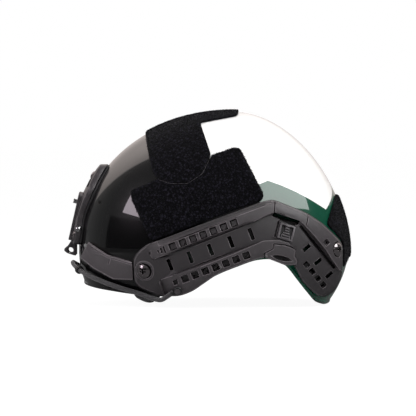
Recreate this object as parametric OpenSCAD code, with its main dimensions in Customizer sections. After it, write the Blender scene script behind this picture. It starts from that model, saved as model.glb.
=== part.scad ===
// High-cut tactical helmet: glossy painted shell, side accessory rails, front
// shroud, hook-and-loop panels, foam liner and a sliding nape cradle.
// Millimetres, +Z up, the front faces -Y, the wearer's left is +X. The origin is
// on the ground under the middle of the helmet, which stands on its nape edge
// and on its two temple pads.

/* [Shell] */
// Half of the shell's outer width
shell_half_w = 104; // [98:1:110]
// Length of the shell ahead of its widest section
shell_front = 155.5; // [150:0.5:160]
// Length of the shell behind its widest section
shell_rear = 109.5; // [106:0.5:114]
// Height of the crown above the widest level
crown_h = 135.5; // [130:0.5:140]
// Thickness of the shell wall
wall = 4; // [3:0.25:5]
// How far the moulded lip stands out of the shell's lower edge
lip_out = 1; // [0.6:0.1:1.2]
// Height of the moulded lip
lip_h = 5; // [4:0.5:7]

/* [Rails] */
// Gap between the shell and the back of a rail
rail_gap = 1.6; // [1.5:0.1:2.2]
// Height of the rail's face over the shell
rail_out = 9.2; // [8.6:0.1:10.5]
// Depth of the dovetail channel and of the square pockets
channel_depth = 3; // [2:0.25:3.5]
// Width of the dovetail channel
channel_w = 21; // [18:0.5:23]
// Pitch of the square pockets along the front arm
pocket_pitch = 10.5; // [10:0.1:11]
// Side of one square pocket
pocket_w = 7; // [5.5:0.25:8]
// Width of one cross slot
slot_w = 2.9; // [2:0.1:4]
// Length of one cross slot
slot_len = 11.7; // [9:0.1:14]
// Radius of a rail screw's head
screw_head_r = 6.6; // [5.5:0.1:7.2]
// Radius of a rail screw's shank
screw_r = 2.5; // [2:0.1:3]
// Travel of the rail's end-stop latch
latch_travel = 3.5; // [2:0.25:3.5]

/* [Shroud] */
// Width of the shroud's face
shroud_w = 60; // [54:1:64]
// Thickness of the rubber gasket under the shroud
gasket_t = 1.5; // [1:0.1:2]
// Thickness of the skeleton frame
frame_t = 5; // [4:0.25:6]
// Width of the socket in the shroud plate
socket_w = 19; // [17:0.5:20]
// Travel of the shroud's lock button
lock_travel = 3; // [2:0.25:3]
// Radius of the lanyard hole in the lower lip
lanyard_r = 2.8; // [2:0.1:3]

/* [Panels] */
// Thickness of the loop panels
loop_t = 1.8; // [1.2:0.1:2.2]
// Width of the seam between neighbouring panels
seam = 1; // [0.6:0.1:1.6]
// Thickness of the brow bands
band_t = 4; // [3:0.25:5]

/* [Liner] */
// Thickness of the liner pads
pad_t = 15; // [12:0.5:17]
// Travel of the nape cradle
cradle_travel = 12; // [8:0.5:12]
// Radius of the tightening dial
dial_r = 15; // [13:0.5:17]

/* [Hidden] */
fit = 0.3; // clearance of pieces that lie against each other
bed = 0.5; // clearance of panels laid over the curve of the shell
pad_bed = 0.9; // and of pads inside it
nut_bed = 1.1; // and of the flat nuts inside it
mid_y = 29; // where the shell is widest
mid_z = 53; // level at which the shell is widest
plan_front = 2.3; // how square the plan is ahead of the widest section
plan_rear = 2.45; // and behind it
rise_front = 2.12; // how square the side profile is at the front
rise_rear = 1.79; // and at the rear
under_front = 105; // depth of the curve below the widest level, front
under_rear = 100; // and rear
// Lower edge of the shell in side view: brim, temple, ear arch, nape
edge_pts = [[-128, 20], [-100, 15.5], [-50, 11], [-18, 14], [8, 27.5], [30, 38.5], [50, 43.5],
            [66, 40.5], [82, 28], [96, 11.5], [108, 2.2], [118, 0.2], [150, 0.2]];

black = "#232226";
plastic = "#3b383c";
fabric = "#1d1c20";
foam = "#2b2a2d";
steel = "#55565a";

// Shell surface
// Value between one at the side and another at the front or the rear end
function end_mix(phi, front, side, rear) = side + pow(sin(phi), 2) * ((sin(phi) < 0 ? front : rear) - side);
// Plan radius at the widest level, t outside the shell
function plan_r(phi, t) = let (b = (sin(phi) < 0 ? shell_front : shell_rear) + t,
    p = sin(phi) < 0 ? plan_front : plan_rear)
    pow(pow(abs(cos(phi)) / (shell_half_w + t), p) + pow(abs(sin(phi)) / b, p), -1 / p);
function rise(phi) = end_mix(phi, rise_front, 2, rise_rear);
function depth(phi, w, t) = (w < 0 ? end_mix(phi, under_front, 95, under_rear) : crown_h) + t;
// Point at plan angle phi and height z, t outside the shell
function at_height(phi, z, t) = let (q = rise(phi), w = z - mid_z, s = abs(w) / depth(phi, w, t),
    r = plan_r(phi, t) * pow(max(1 - pow(s, q), 0), 1 / q))
    [r * cos(phi), mid_y + r * sin(phi), z];
// Point at plan angle phi and climb a (0 at the widest level, 90 at the crown)
function at_climb(phi, a, t) = let (q = rise(phi), h = depth(phi, a, t),
    r = plan_r(phi, t) * pow(cos(a), 2 / q))
    [r * cos(phi), mid_y + r * sin(phi), mid_z + sign(a) * h * pow(abs(sin(a)), 2 / q)];
// Point over plan position x, y
function at_plan(x, y, t) = let (phi = atan2(y - mid_y, x), r = norm([x, y - mid_y]), q = rise(phi),
    s = min(r / plan_r(phi, t), 1)) [x, y, mid_z + (crown_h + t) * pow(1 - pow(s, q), 1 / q)];
// Half width of the surface at side position y, z
function side_x(y, z, t, phi = 0, n = 6) = let (q = rise(phi), w = z - mid_z,
    k = pow(1 - pow(abs(w) / depth(phi, w, t), q), 1 / q), u = y - mid_y,
    b = (u < 0 ? shell_front : shell_rear) + t, p = u < 0 ? plan_front : plan_rear,
    x = k * (shell_half_w + t) * pow(max(1 - pow(abs(u) / (k * b), p), 0.0001), 1 / p))
    n == 0 ? x : side_x(y, z, t, atan2(u, x), n - 1);
function side_pt(y, z, t) = [side_x(y, z, t), y, z];
function unit(v) = v / norm(v);
function side_normal(y, z, t) = let (d = 0.5) unit([1,
    (side_x(y - d, z, t) - side_x(y + d, z, t)) / (2 * d),
    (side_x(y, z - d, t) - side_x(y, z + d, t)) / (2 * d)]);

// Smooth curve through the edge points
function span(y, i = 0) = i >= len(edge_pts) - 2 || y < edge_pts[i + 1][0] ? i : span(y, i + 1);
function slope(i) = let (a = edge_pts[max(i - 1, 0)], b = edge_pts[min(i + 1, len(edge_pts) - 1)])
    (b[1] - a[1]) / (b[0] - a[0]);
function edge_z(y) = let (i = span(y), a = edge_pts[i], b = edge_pts[i + 1], h = b[0] - a[0],
    s = min(max((y - a[0]) / h, 0), 1), r = 1 - s)
    a[1] * (1 + 2 * s) * r * r + b[1] * s * s * (1 + 2 * r) + slope(i) * h * s * r * r - slope(i + 1) * h * s * s * r;
// Climb of the lower edge at plan angle phi
function edge_climb(phi, a = 0, n = 6) = n == 0 ? a : let (w = edge_z(at_climb(phi, a, 0)[1]) - mid_z,
    s = min(abs(w) / depth(phi, w, 0), 1)) edge_climb(phi, sign(w) * asin(pow(s, rise(phi) / 2)), n - 1);

// Solid between two offsets of a surface function f(u, v, t), on a grid of nu by nv
module slab(f, u0, u1, nu, v0, v1, nv, t0, t1) {
    row = nv + 1;
    n = (nu + 1) * row;
    pts = [for (t = [t0, t1]) for (i = [0:nu]) for (j = [0:nv])
        f(u0 + (u1 - u0) * i / nu, v0 + (v1 - v0) * j / nv, t)];
    inner = [for (i = [0:nu - 1]) for (j = [0:nv - 1]) let (a = i * row + j)
        each [[a, a + row, a + row + 1], [a, a + row + 1, a + 1]]];
    outer = [for (f = inner) [f[0] + n, f[2] + n, f[1] + n]];
    rim = concat([for (i = [0:nu]) i * row], [for (j = [1:nv]) nu * row + j],
        [for (i = [nu - 1:-1:0]) i * row + nv], [for (j = [nv - 1:-1:1]) j]);
    walls = [for (k = [0:len(rim) - 1]) let (a = rim[k], b = rim[(k + 1) % len(rim)])
        each [[a, a + n, b + n], [a, b + n, b]]];
    polyhedron(pts, concat(inner, outer, walls), convexity = 6);
}

// Prism along X over a side outline, on the left half or right through
module across(from = 15, to = 150) {
    translate([from, 0, 0]) rotate([90, 0, 90]) linear_extrude(to - from) children();
}
// Frame on the left side at y, z: its x runs along the arm (angle a), its z outwards
module on_side(y, z, t, a = 0) {
    n = side_normal(y, z, t);
    u = unit(cross([0, -sin(a), cos(a)], n));
    v = cross(n, u);
    p = side_pt(y, z, t);
    multmatrix([[u[0], v[0], n[0], p[0]], [u[1], v[1], n[1], p[1]], [u[2], v[2], n[2], p[2]]]) children();
}
module on_right() { mirror([1, 0, 0]) children(); }

function corner(p, q, r) = q + unit(p - q) * min(r, norm(p - q) * 0.45);
// Outline with its corners rounded off over length r
function soften(pts, r, n = 3) = [for (i = [0:len(pts) - 1])
    let (q = pts[i], a = corner(pts[(i + len(pts) - 1) % len(pts)], q, r), b = corner(pts[(i + 1) % len(pts)], q, r))
    for (s = [0:n]) let (t = s / n) a * pow(1 - t, 2) + 2 * q * t * (1 - t) + b * t * t];

// Frame at plan angle phi and height z: its z is the surface's outward normal
module on_face(phi, z, t) {
    p = at_height(phi, z, t);
    d = 0.5;
    u = unit(at_height(phi + d, z, t) - at_height(phi - d, z, t));
    w = at_height(phi, z + d, t) - at_height(phi, z - d, t);
    n = unit(cross(u, w));
    v = cross(n, u);
    multmatrix([[u[0], v[0], n[0], p[0]], [u[1], v[1], n[1], p[1]], [u[2], v[2], n[2], p[2]]]) children();
}
module skin(u0, u1, nu, v0, v1, nv, t0, t1) {
    slab(function(u, v, t) at_height(u, v, t), u0, u1, nu, v0, v1, nv, t0, t1);
}
// Prism through the front over an outline of x and height
module from_front() { rotate([90, 0, 0]) linear_extrude(200) children(); }

// Shell
lip_rows = [for (k = [0, 0.15, 0.62, 1]) k * lip_h / 185]; // the climb is about 185 mm long
shell_rows = concat(lip_rows, [0.07, 0.12, 0.19, 0.27, 0.35, 0.43, 0.52, 0.61, 0.7, 0.79, 0.87, 0.94]);
lining_rows = [0, 0.05, 0.12, 0.19, 0.27, 0.35, 0.43, 0.52, 0.61, 0.7, 0.79, 0.87, 0.94];
lip_form = [0.3, 1, 1, 0]; // how far each of the lowest rows stands out
module dome(n = 72) {
    angles = [for (i = [0:n - 1]) 360 * i / n];
    function ring(row, t) = [for (p = angles) let (e = edge_climb(p)) at_climb(p, e + (90 - e) * row, t)];
    function loops(rows, start) = [for (k = [0:rows - 2]) for (i = [0:n - 1])
        let (a = start + k * n, j = (i + 1) % n) each [[a + i, a + n + j, a + j], [a + i, a + n + i, a + n + j]]];
    function cap(rows, start) = [for (i = [0:n - 1])
        let (a = start + (rows - 1) * n) [a + i, a + n, a + (i + 1) % n]];
    function flip(faces) = [for (f = faces) [f[0], f[2], f[1]]];
    m = len(shell_rows);
    k = len(lining_rows);
    top = mid_z + crown_h;
    pts = concat([for (r = [0:m - 1]) each ring(shell_rows[r], r < len(lip_form) ? lip_form[r] * lip_out : 0)],
        [[0, mid_y, top]], [for (r = lining_rows) each ring(r, -wall)], [[0, mid_y, top - wall]]);
    h = m * n + 1;
    rim = [for (i = [0:n - 1]) let (j = (i + 1) % n) each [[i, j, j + h], [i, j + h, i + h]]];
    polyhedron(pts, concat(loops(m, 0), cap(m, 0), flip(loops(k, h)), flip(cap(k, h)), rim), convexity = 8);
}
module shell() {
    color("#07432f") difference() {
        dome();
        rail_bores();
        on_right() rail_bores();
        shroud_bores();
    }
}

// Rails
arm_a = 21; // slope of the front arm
arm = [-36.5, 42]; // first cross slot of the front arm
tail_a = -51; // slope of the rear arm
tail = [96.5, 58.5]; // first cross slot of the rear arm
front_screw = [-61.5, 35.5];
rear_screw = [126, 56];
hook_at = [-28, 18];
hook_r = 1.9; // inner radius of the hook's ring
latch_at = [75.7, 74];
latch_a = -17;
latch_w = 15.6;
latch_h = 15.2;
latch_rim = 2; // frame round the latch's two pits
thumb_w = 9; // foot of the ribbed piece that the thumb pushes
rail_step = 1.2; // step round the edge of the rail's face
latch_flange = 1; // how far the latch's foot reaches under the rail's floor on each side
front_drop = 2.4; // how far the front screw's head sits below the rail's face
latch_drop = 2.2; // and the latch
rail_line = [[-72.4, 46.7], [-67.6, 54.5], [-57.8, 62], [-50, 64.2], [-14, 78.2], [53, 103], [62.7, 105],
    [94.8, 92.3], [112.3, 80.7], [128.8, 64.2], [131.7, 58.3], [131.7, 38.9], [130.7, 26.2], [124.9, 14.6],
    [114.2, 7.8], [106.4, 10.7], [92.8, 24.3], [83.1, 42.8], [53, 49.6], [33.5, 42.8], [9.2, 33],
    [-14, 16.5], [-25.8, 11.7], [-46.2, 10.7], [-65.6, 18.5], [-71.4, 24.3]];
// Floor between the flanges: round the front screw, along the channel, past the latch and down the rear arm
floor_line = [[-85, 5], [-85, 66], [-62, 66], [-58, 53.5], [-52.8, 47], [46.2, 85], [58.5, 91], [64.5, 92],
    [91, 82.4], [126.9, 37.4], [132, 33], [140, 28], [140, -5], [84, -5], [84, 42.5], [86.5, 46], [83.7, 51],
    [85, 57.5], [76.6, 63.6], [68.7, 65.8], [54, 65.5], [-46.5, 26.9], [-41, 5]];
insert_line = [[54.9, 53.5], [62.7, 57.3], [63.7, 62.2], [72.4, 61.6], [80.2, 59.3], [85, 56.4],
    [83.7, 51], [86.5, 46], [85, 41.8], [74.4, 41.8], [54.9, 49.6]];
module along(p, a) { translate(p) rotate(a) children(); }
module rail_shape() { polygon(soften(rail_line, 5)); }
function screw_t(p) = rail_out - (p == front_screw ? front_drop : 0);
module on_screw(p) { on_side(p[0], p[1], screw_t(p)) children(); }
module rail_bores(r = screw_r + 0.1) {
    for (p = [front_screw, rear_screw]) on_screw(p) translate([0, 0, -25]) cylinder(r = r, h = 40, $fn = 32);
}
// Floor, square pockets and ribs sunk into the rail's face
module rail_recess() {
    intersection() {
        polygon(soften(floor_line, 1.5));
        union() {
            along(arm, arm_a) translate([-60, -60]) square([200, 60 + channel_w / 2]);
            translate([46, 40]) square([100, 60]);
        }
    }
    along(arm, arm_a) {
        for (k = [0:6], s = [15.8, -17.6])
            translate([9.2 + k * pocket_pitch, s]) square(pocket_w, center = true);
        for (k = [0:2]) translate([0.8 - 3.2 * k, 15.8]) square([1.6, pocket_w - 1.8 * k], center = true);
        translate([-0.5, -17.6]) square([4.5, pocket_w - 2], center = true);
    }
    along(tail, tail_a) translate([7.7, 17]) square(5.5, center = true);
    for (p = [[62.7, 98, 80], [94, 86, 62]]) along([p[0], p[1]], p[2]) translate([2, 0]) square([12, 0.8]);
}
module tail_pockets() {
    along(tail, tail_a) for (k = [0:3]) translate([13.3 + 9 * k, -10.4]) square([6.2, 5.4], center = true);
}
// Cross slots through the rail, and the groove under its rear flange
module rail_slots() {
    along(arm, arm_a) for (k = [0:4])
        translate([2 * pocket_pitch * k, 0]) square([slot_w, slot_len], center = true);
    along(tail, tail_a) {
        for (k = [0:2]) translate([18 * k, 0]) square([slot_w, 8.6], center = true);
        translate([-21, 7.4]) square([56, 3]);
    }
    along([75.6, 86.7], -19) square([27, 3.8], center = true);
}
module rail_face(t0, t1) { skin(-56, 68, 20, 2, 110, 8, t0, t1); }
module rail() {
    difference() {
        union() {
            intersection() {
                rail_face(rail_gap, rail_out - rail_step);
                across() rail_shape();
            }
            intersection() {
                rail_face(rail_out - rail_step - 0.5, rail_out);
                across() offset(delta = -rail_step) rail_shape();
            }
        }
        intersection() {
            rail_face(rail_out - channel_depth, rail_out + 4);
            across() rail_recess();
        }
        intersection() {
            rail_face(rail_out - channel_depth - 2.4, rail_out + 4);
            across() tail_pockets();
        }
        across() rail_slots();
        across() offset(delta = fit) polygon(insert_line);
        rail_bores();
        for (p = [front_screw, rear_screw]) on_screw(p)
            translate([0, 0, -1.8]) cylinder(r = screw_head_r + fit, h = 8, $fn = 48);
        on_latch() latch_room();
    }
    front_boss();
    hook_post();
}
module front_boss() {
    difference() {
        on_screw(front_screw) translate([0, 0, -3]) cylinder(r = screw_head_r + 3.4, h = 3.2, $fn = 48);
        on_screw(front_screw) translate([0, 0, -1.8]) cylinder(r = screw_head_r + fit, h = 8, $fn = 48);
        rail_bores();
    }
}
module hook_post() {
    on_side(hook_at[0], hook_at[1], rail_out) {
        translate([0, 0, -2]) cylinder(r = hook_r - 0.3, h = 6.2, $fn = 32);
        translate([0, 0, 4.2]) cylinder(r = hook_r + 1, h = 1.2, $fn = 32);
    }
}
module rail_left() { color(plastic) rail(); }
module rail_right() { color(plastic) on_right() rail(); }

// End-stop latch, held under the rail's floor by its foot
module on_latch() { on_side(latch_at[0], latch_at[1], rail_out - latch_drop, latch_a) children(); }
module latch_block(w, h, z0, z1, up) {
    translate([-w / 2, -latch_h / 2 - 0.5 - (h - latch_h - up) / 2, z0]) cube([w, h, z1 - z0]);
}
module latch_room() {
    latch_block(latch_w + 2 * fit, latch_h + latch_travel + 2 * fit, -3.2, 6, latch_travel);
    latch_block(latch_w + 2 * (latch_flange + fit), latch_h + latch_travel + 2 * (latch_flange + fit),
        -4.2 - fit, -3 + fit, latch_travel);
}
module latch() {
    on_latch() difference() {
        union() {
            latch_block(latch_w + 2 * latch_flange, latch_h + 2 * latch_flange, -4.2, -3, 0);
            latch_block(latch_w, latch_h, -3.1, 0.4, 0);
            translate([0, -0.5, -1.8]) linear_extrude(2.8) thumb(latch_h / 2 - 1);
        }
        translate([0, -0.5, -1.8]) linear_extrude(4) difference() {
            square([latch_w - 2 * latch_rim, latch_h - 2 * latch_rim + 0.8], center = true);
            thumb(latch_h / 2);
        }
        for (k = [0:4]) translate([0, -0.5 + (k - 2) * (latch_h - 3.2) / 5, 0])
            translate([-thumb_w / 2 + 0.8, -0.6, -0.6]) cube([thumb_w - 1.6, 1.2, 4]);
    }
}
// Outline of the ribbed piece that the thumb pushes, between the latch's pits
module thumb(h) {
    w = thumb_w / 2;
    polygon([[-w, -h], [w, -h], [w, -0.45 * h], [0.48 * w, 0.12 * h], [0.48 * w, h], [-0.48 * w, h],
        [-0.48 * w, 0.12 * h], [-w, -0.45 * h]]);
}
module latch_left() { color(black) latch(); }
module latch_right() { color(black) on_right() latch(); }

// Half-moon insert under the bend of the rail, with its finger scoop
module insert() {
    r = 24.6;
    difference() {
        intersection() {
            skin(8, 34, 5, 38, 66, 3, rail_gap, rail_out - 0.6);
            across() polygon(soften(insert_line, 1));
        }
        intersection() {
            skin(8, 34, 5, 38, 66, 3, rail_out - 4.6, rail_out + 4);
            across() along([71.5, 48.6], -14) intersection() {
                translate([0, r - 2.6]) circle(r, $fn = 64);
                translate([0, 2.6 - r]) circle(r, $fn = 64);
            }
        }
    }
}
module insert_left() { color(plastic) insert(); }
module insert_right() { color(plastic) on_right() insert(); }

// Cross-head screws with a domed head, and their nuts inside the shell
module screw(r, reach, shank) {
    dome_h = 0.36 * r;
    ball = (r * r + dome_h * dome_h) / (2 * dome_h);
    difference() {
        union() {
            translate([0, 0, -1.5]) cylinder(r = r, h = 1.6, $fn = 48);
            intersection() {
                translate([0, 0, dome_h - ball]) sphere(ball, $fn = 64);
                cylinder(r = r, h = 2 * dome_h, $fn = 48);
            }
            translate([0, 0, -reach]) cylinder(r = shank, h = reach - 1.4, $fn = 32);
        }
        for (a = [0, 90]) rotate(a) translate([0, 0, dome_h]) cube([0.9 * r, 0.2 * r, 2.4], center = true);
    }
}
// Depth of the lining below point p along its normal n
function to_lining(p, n, s = 10, k = 8) = k == 0 ? s : let (q = p - s * n)
    to_lining(p, n, s + (q[0] - side_x(q[1], q[2], -wall)) * n[0], k - 1);
function nut_depth(p) = let (t = screw_t(p))
    to_lining(side_pt(p[0], p[1], t), side_normal(p[0], p[1], t)) + nut_bed;
// Nut on a washer, its face at depth top
module nut(top, r, bore) {
    difference() {
        union() {
            translate([0, 0, -top - 1.2]) cylinder(r = r, h = 1.2, $fn = 48);
            translate([0, 0, -top - 3.4]) cylinder(r = 0.65 * r, h = 2.3, $fn = 6);
        }
        translate([0, 0, -top - 5]) cylinder(r = bore + 0.05, h = 6, $fn = 32);
    }
}
module rail_screw(p) { color(steel) on_screw(p) screw(screw_head_r, nut_depth(p) + 3, screw_r); }
module rail_nut(p) { color(steel) on_screw(p) nut(nut_depth(p), 7, screw_r); }
module screw_front_left() { rail_screw(front_screw); }
module screw_front_right() { on_right() rail_screw(front_screw); }
module screw_rear_left() { rail_screw(rear_screw); }
module screw_rear_right() { on_right() rail_screw(rear_screw); }
module nut_front_left() { rail_nut(front_screw); }
module nut_front_right() { on_right() rail_nut(front_screw); }
module nut_rear_left() { rail_nut(rear_screw); }
module nut_rear_right() { on_right() rail_nut(rear_screw); }

// Brow bands from the shroud to the rails
nose = at_height(-90, mid_z, 0)[1]; // foremost point of the shell
band_line = [[nose + 11, 62.6], [nose + 15.2, 59.6], [nose + 29.8, 50.8], [-72, 44], [-60, 43], [-60, 26.4],
    [-72.4, 26.7], [nose + 35.2, 27], [nose + 16.2, 36.5], [nose + 2.2, 46.3]];
module brow_band() {
    difference() {
        intersection() {
            skin(-88, -42, 11, 22, 68, 4, bed, bed + band_t);
            across(5) polygon(soften(band_line, 1.5));
        }
        across() offset(delta = fit) rail_shape();
        on_screw(front_screw) translate([0, 0, -12]) cylinder(r = screw_head_r + 3.4 + fit, h = 20, $fn = 48);
    }
}
module brow_band_left() { color(plastic) brow_band(); }
module brow_band_right() { color(plastic) on_right() brow_band(); }

// Front bungee. It leaves the hook, given by side position from the hook and distance from the shell,
// and then lies round the front, given by plan angle, height and distance from the shell.
bungee_r = 2.3;
hook_run = [[-6.3, -3, 12.2], [-11, -6.5, 12.2], [-17, -9.8, 11]];
route = [[-42, 9.5, 8], [-48, 13.5, 4.6], [-58, 20, 4], [-66, 26, 4.2], [-74, 32, 5], [-80, 36.5, 5.8],
    [-86, 39.5, 6.4]];
left_run = concat([for (p = hook_run) side_pt(hook_at[0] + p[0], hook_at[1] + p[1], p[2])],
    [for (p = route) at_height(p[0], p[1], p[2])]);
path = concat(left_run, [at_height(-90, 40.5, 6.6)],
    [for (i = [len(left_run) - 1:-1:0]) [-left_run[i][0], left_run[i][1], left_run[i][2]]]);
bead_s = 7.55; // where the bead sits along the path
function blend(a, b, c, d, s) = 0.5 * (2 * b + (c - a) * s + (2 * a - 5 * b + 4 * c - d) * s * s
    + (3 * b - a - 3 * c + d) * s * s * s);
function on_path(s) = let (n = len(path), i = min(floor(s), n - 2))
    blend(path[max(i - 1, 0)], path[i], path[i + 1], path[min(i + 2, n - 1)], s - i);
module tube(pts, r, sides = 8) {
    n = len(pts);
    rings = [for (i = [0:n - 1]) let (t = unit(pts[min(i + 1, n - 1)] - pts[max(i - 1, 0)]),
        b = unit(cross(t, [0, 0, 1])), c = cross(b, t)) for (k = [0:sides - 1])
        pts[i] + r * (cos(360 * k / sides) * b + sin(360 * k / sides) * c)];
    walls = [for (i = [0:n - 2]) for (k = [0:sides - 1]) let (a = i * sides + k, b = i * sides + (k + 1) % sides)
        each [[a, b, b + sides], [a, b + sides, a + sides]]];
    ends = [for (k = [1:sides - 2]) each [[0, k + 1, k], [(n - 1) * sides, (n - 1) * sides + k, (n - 1) * sides + k + 1]]];
    polyhedron(concat(rings), concat(walls, ends), convexity = 10);
}
bungee_pts = [for (s = [0:0.5:len(path) - 1]) on_path(s)];
module bungee() { color(fabric) tube(bungee_pts, bungee_r); }
// Hook ring on the rail's post, with the sleeve that holds the cord's end
module bungee_hook() {
    n = side_normal(hook_at[0], hook_at[1], rail_out);
    ring = side_pt(hook_at[0], hook_at[1], rail_out) + 2.4 * n;
    end = bungee_pts[0];
    d = unit(bungee_pts[1] - end);
    color(black) {
        on_side(hook_at[0], hook_at[1], rail_out) translate([0, 0, 2.4])
            rotate_extrude($fn = 48) translate([hook_r + 1.2, 0]) circle(1.2, $fn = 24);
        translate(end) rotate([0, acos(-d[2]), atan2(-d[1], -d[0])])
            cylinder(r = bungee_r + 0.5, h = norm(end - ring) - hook_r - 1.6, $fn = 32);
    }
}
module bungee_hook_left() { bungee_hook(); }
module bungee_hook_right() { on_right() bungee_hook(); }
module cord_bead() {
    p = on_path(bead_s);
    d = unit(on_path(bead_s + 0.2) - on_path(bead_s - 0.2));
    color(black) translate(p) rotate([0, acos(d[2]), atan2(d[1], d[0])]) difference() {
        union() {
            translate([0, 0, -2.6]) cylinder(r = bungee_r + 1.4, h = 5.2, $fn = 40);
            translate([0, 0, -1.2]) cylinder(r = bungee_r + 1.8, h = 2.4, $fn = 40);
        }
        translate([0, 0, -4]) cylinder(r = bungee_r + fit, h = 8, $fn = 32);
    }
}

// Shroud: gasket, skeleton frame, socket plate, lock and screws
gasket_out = bed + gasket_t;
half_w = shroud_w / 2;
frame_in = gasket_out + 0.15;
plate_z = 86.7;
plate_out = 8.4; // the plate's face over the shell at its middle
plate_a = 12.8; // how far the plate leans back
plate_t = 5.5;
plate_w = socket_w + 15;
plate_h = 48;
plate_top = plate_z + plate_h / 2 * cos(plate_a);
module on_plate() {
    translate(at_height(-90, plate_z, plate_out)) rotate([90 - plate_a, 0, 0]) children();
}
// Outline of one half, x from the middle, mirrored to the other side
function both_sides(half) = concat(half, [for (i = [len(half) - 1:-1:0]) [-half[i][0], half[i][1]]]);
function shroud_line(grow) = let (w = shroud_w / 2 + grow) soften(both_sides([[0.57 * w, 137 + grow],
    [0.66 * w, 134 + grow], [w, 113 + grow], [w, 100], [0.93 * w, 84], [w, 72], [0.93 * w, 59.5 - grow],
    [0.6 * w, 58.5 - grow]]), 4);
module shroud_bores(r = 2.1) {
    for (p = shroud_screws) on_face(p[0], p[1], frame_in + frame_t) translate([0, 0, -20]) cylinder(r = r, h = 30, $fn = 32);
}
screw_turn = 0.14 * shroud_w;
shroud_screws = [[-90, 127], [-90 + screw_turn, 67.5], [-90 - screw_turn, 67.5]];
module front_face(t0, t1) { skin(-106, -74, 8, 42, 144, 9, t0, t1); }
module shroud_gasket() {
    color("#1a1a1c") difference() {
        intersection() { front_face(bed, gasket_out); from_front() polygon(shroud_line(1.5)); }
        shroud_bores();
    }
}
module shroud_frame() {
    color(plastic) difference() {
        intersection() { front_face(frame_in, frame_in + frame_t); from_front() polygon(shroud_line(0)); }
        on_plate() translate([-plate_w / 2 - fit, -plate_h / 2 - 40, -20]) cube([plate_w + 2 * fit, plate_h + 40 + fit, 30]);
        for (s = [-1, 1]) on_bolt(s) translate([0, 0, -12]) cylinder(r = 1.6, h = 14, $fn = 24);
        for (s = [0, 1]) mirror([s, 0, 0]) from_front() {
            polygon(soften([[8, plate_top + 5], [half_w - 6, plate_top + 5], [half_w / 2 - 0.5, 131]], 2));
            polygon(soften([[plate_w / 2 + 4, 82], [half_w - 4.5, 88], [half_w - 4.5, 102], [plate_w / 2 + 4, 106]], 2));
        }
        shroud_bores();
        for (p = shroud_screws) on_face(p[0], p[1], frame_in + frame_t)
            translate([0, 0, -1.8]) cylinder(r = 4.2 + fit, h = 8, $fn = 40);
    }
}
// Lower ears with the lanyard hole, in side view
ear_line = [for (p = [[-2.4, 70], [-10.9, 57], [-14.1, 54.6], [-14.2, 52.4], [-11.1, 50], [-5.5, 48.2],
    [-2.4, 47.5]]) p + [nose, 0]];
ear_t = 4;
lanyard = [nose - 7.9, 53];
module ears() {
    x = socket_w / 2 + 2.8;
    for (s = [0, 1]) mirror([s, 0, 0]) across(x, x + ear_t) polygon(soften(ear_line, 1));
}
// Dovetail socket, open at the bottom
module socket() {
    w = socket_w / 2;
    translate([0, 6, 0]) rotate([90, 0, 0]) linear_extrude(50)
        polygon([[-w, 1], [-w, -1.4], [-w - 2.2, -4.2], [w + 2.2, -4.2], [w, -1.4], [w, 1]]);
}
bolt_z = 74;
function front_phi(x, z, t, phi = -80, n = 6) = n == 0 ? phi :
    front_phi(x, z, t, atan2(at_height(phi, z, t)[1] - mid_y, x), n - 1);
bolt_phi = front_phi(half_w - 0.8, bolt_z, frame_in + frame_t / 2);
module on_bolt(s) {
    p = at_height(bolt_phi, bolt_z, frame_in + frame_t / 2);
    translate([s * (half_w - 0.3), p[1], p[2]]) rotate([0, s * 90, 0]) children();
}
module side_bolt(s) { color("silver") on_bolt(s) translate([0, 0, 1.9]) screw(2.6, 8, 1.5); }
module side_bolt_left() { side_bolt(1); }
module side_bolt_right() { side_bolt(-1); }
lock_z = plate_h / 2 - 8.5; // the lock's height over the plate's middle
module shroud_plate() {
    h = plate_h / 2;
    w = socket_w / 2;
    color(black) difference() {
        union() {
            on_plate() translate([0, 0, -plate_t]) linear_extrude(plate_t)
                polygon(soften(both_sides([[plate_w / 2 - 4, h], [plate_w / 2, h - 4], [plate_w / 2, -h]]), 2));
            ears();
        }
        on_plate() socket();
        on_plate() lock_room();
        across(-20, 20) translate(lanyard) circle(lanyard_r, $fn = 32);
        on_plate() for (x = [-1, 1]) translate([x * (w + 4.2), 13, -2]) cylinder(r = 1.4, h = 5, $fn = 24);
    }
}
module lock_room() {
    translate([-5 - fit, lock_z - 4 - fit, -plate_t + 1.4 - fit]) cube([10 + 2 * fit, 8 + lock_travel - 3 + 2 * fit, 20]);
    translate([-3 - fit, lock_z - 13.5, -plate_t + 1.4 - fit]) cube([6 + 2 * fit, 12, 20]);
}
module shroud_lock() {
    color(steel) on_plate() difference() {
        union() {
            translate([-5, lock_z - 4, -plate_t + 1.4]) cube([10, 5, plate_t - 1.4]);
            translate([-3, lock_z - 12, -plate_t + 1.4]) cube([6, 9, 2.2]);
            translate([-3.2, lock_z - 3.6, 0]) cube([6.4, 4.2, 4]);
        }
        for (k = [0:2]) translate([-4, lock_z - 2.9 + 1.4 * k, 3.4]) cube([8, 0.6, 2]);
    }
}
shroud_nut_at = frame_in + frame_t + wall + pad_bed + 0.3;
module on_shroud_screw(p) { on_face(p[0], p[1], frame_in + frame_t) children(); }
module shroud_screw(p) { color(steel) on_shroud_screw(p) screw(4.2, shroud_nut_at + 2.5, 2); }
module shroud_nut(p) { color(steel) on_shroud_screw(p) nut(shroud_nut_at, 5, 2); }
module shroud_nut_top() { shroud_nut(shroud_screws[0]); }
module shroud_nut_left() { shroud_nut(shroud_screws[1]); }
module shroud_nut_right() { shroud_nut(shroud_screws[2]); }
module shroud_screw_top() { shroud_screw(shroud_screws[0]); }
module shroud_screw_left() { shroud_screw(shroud_screws[1]); }
module shroud_screw_right() { shroud_screw(shroud_screws[2]); }

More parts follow.
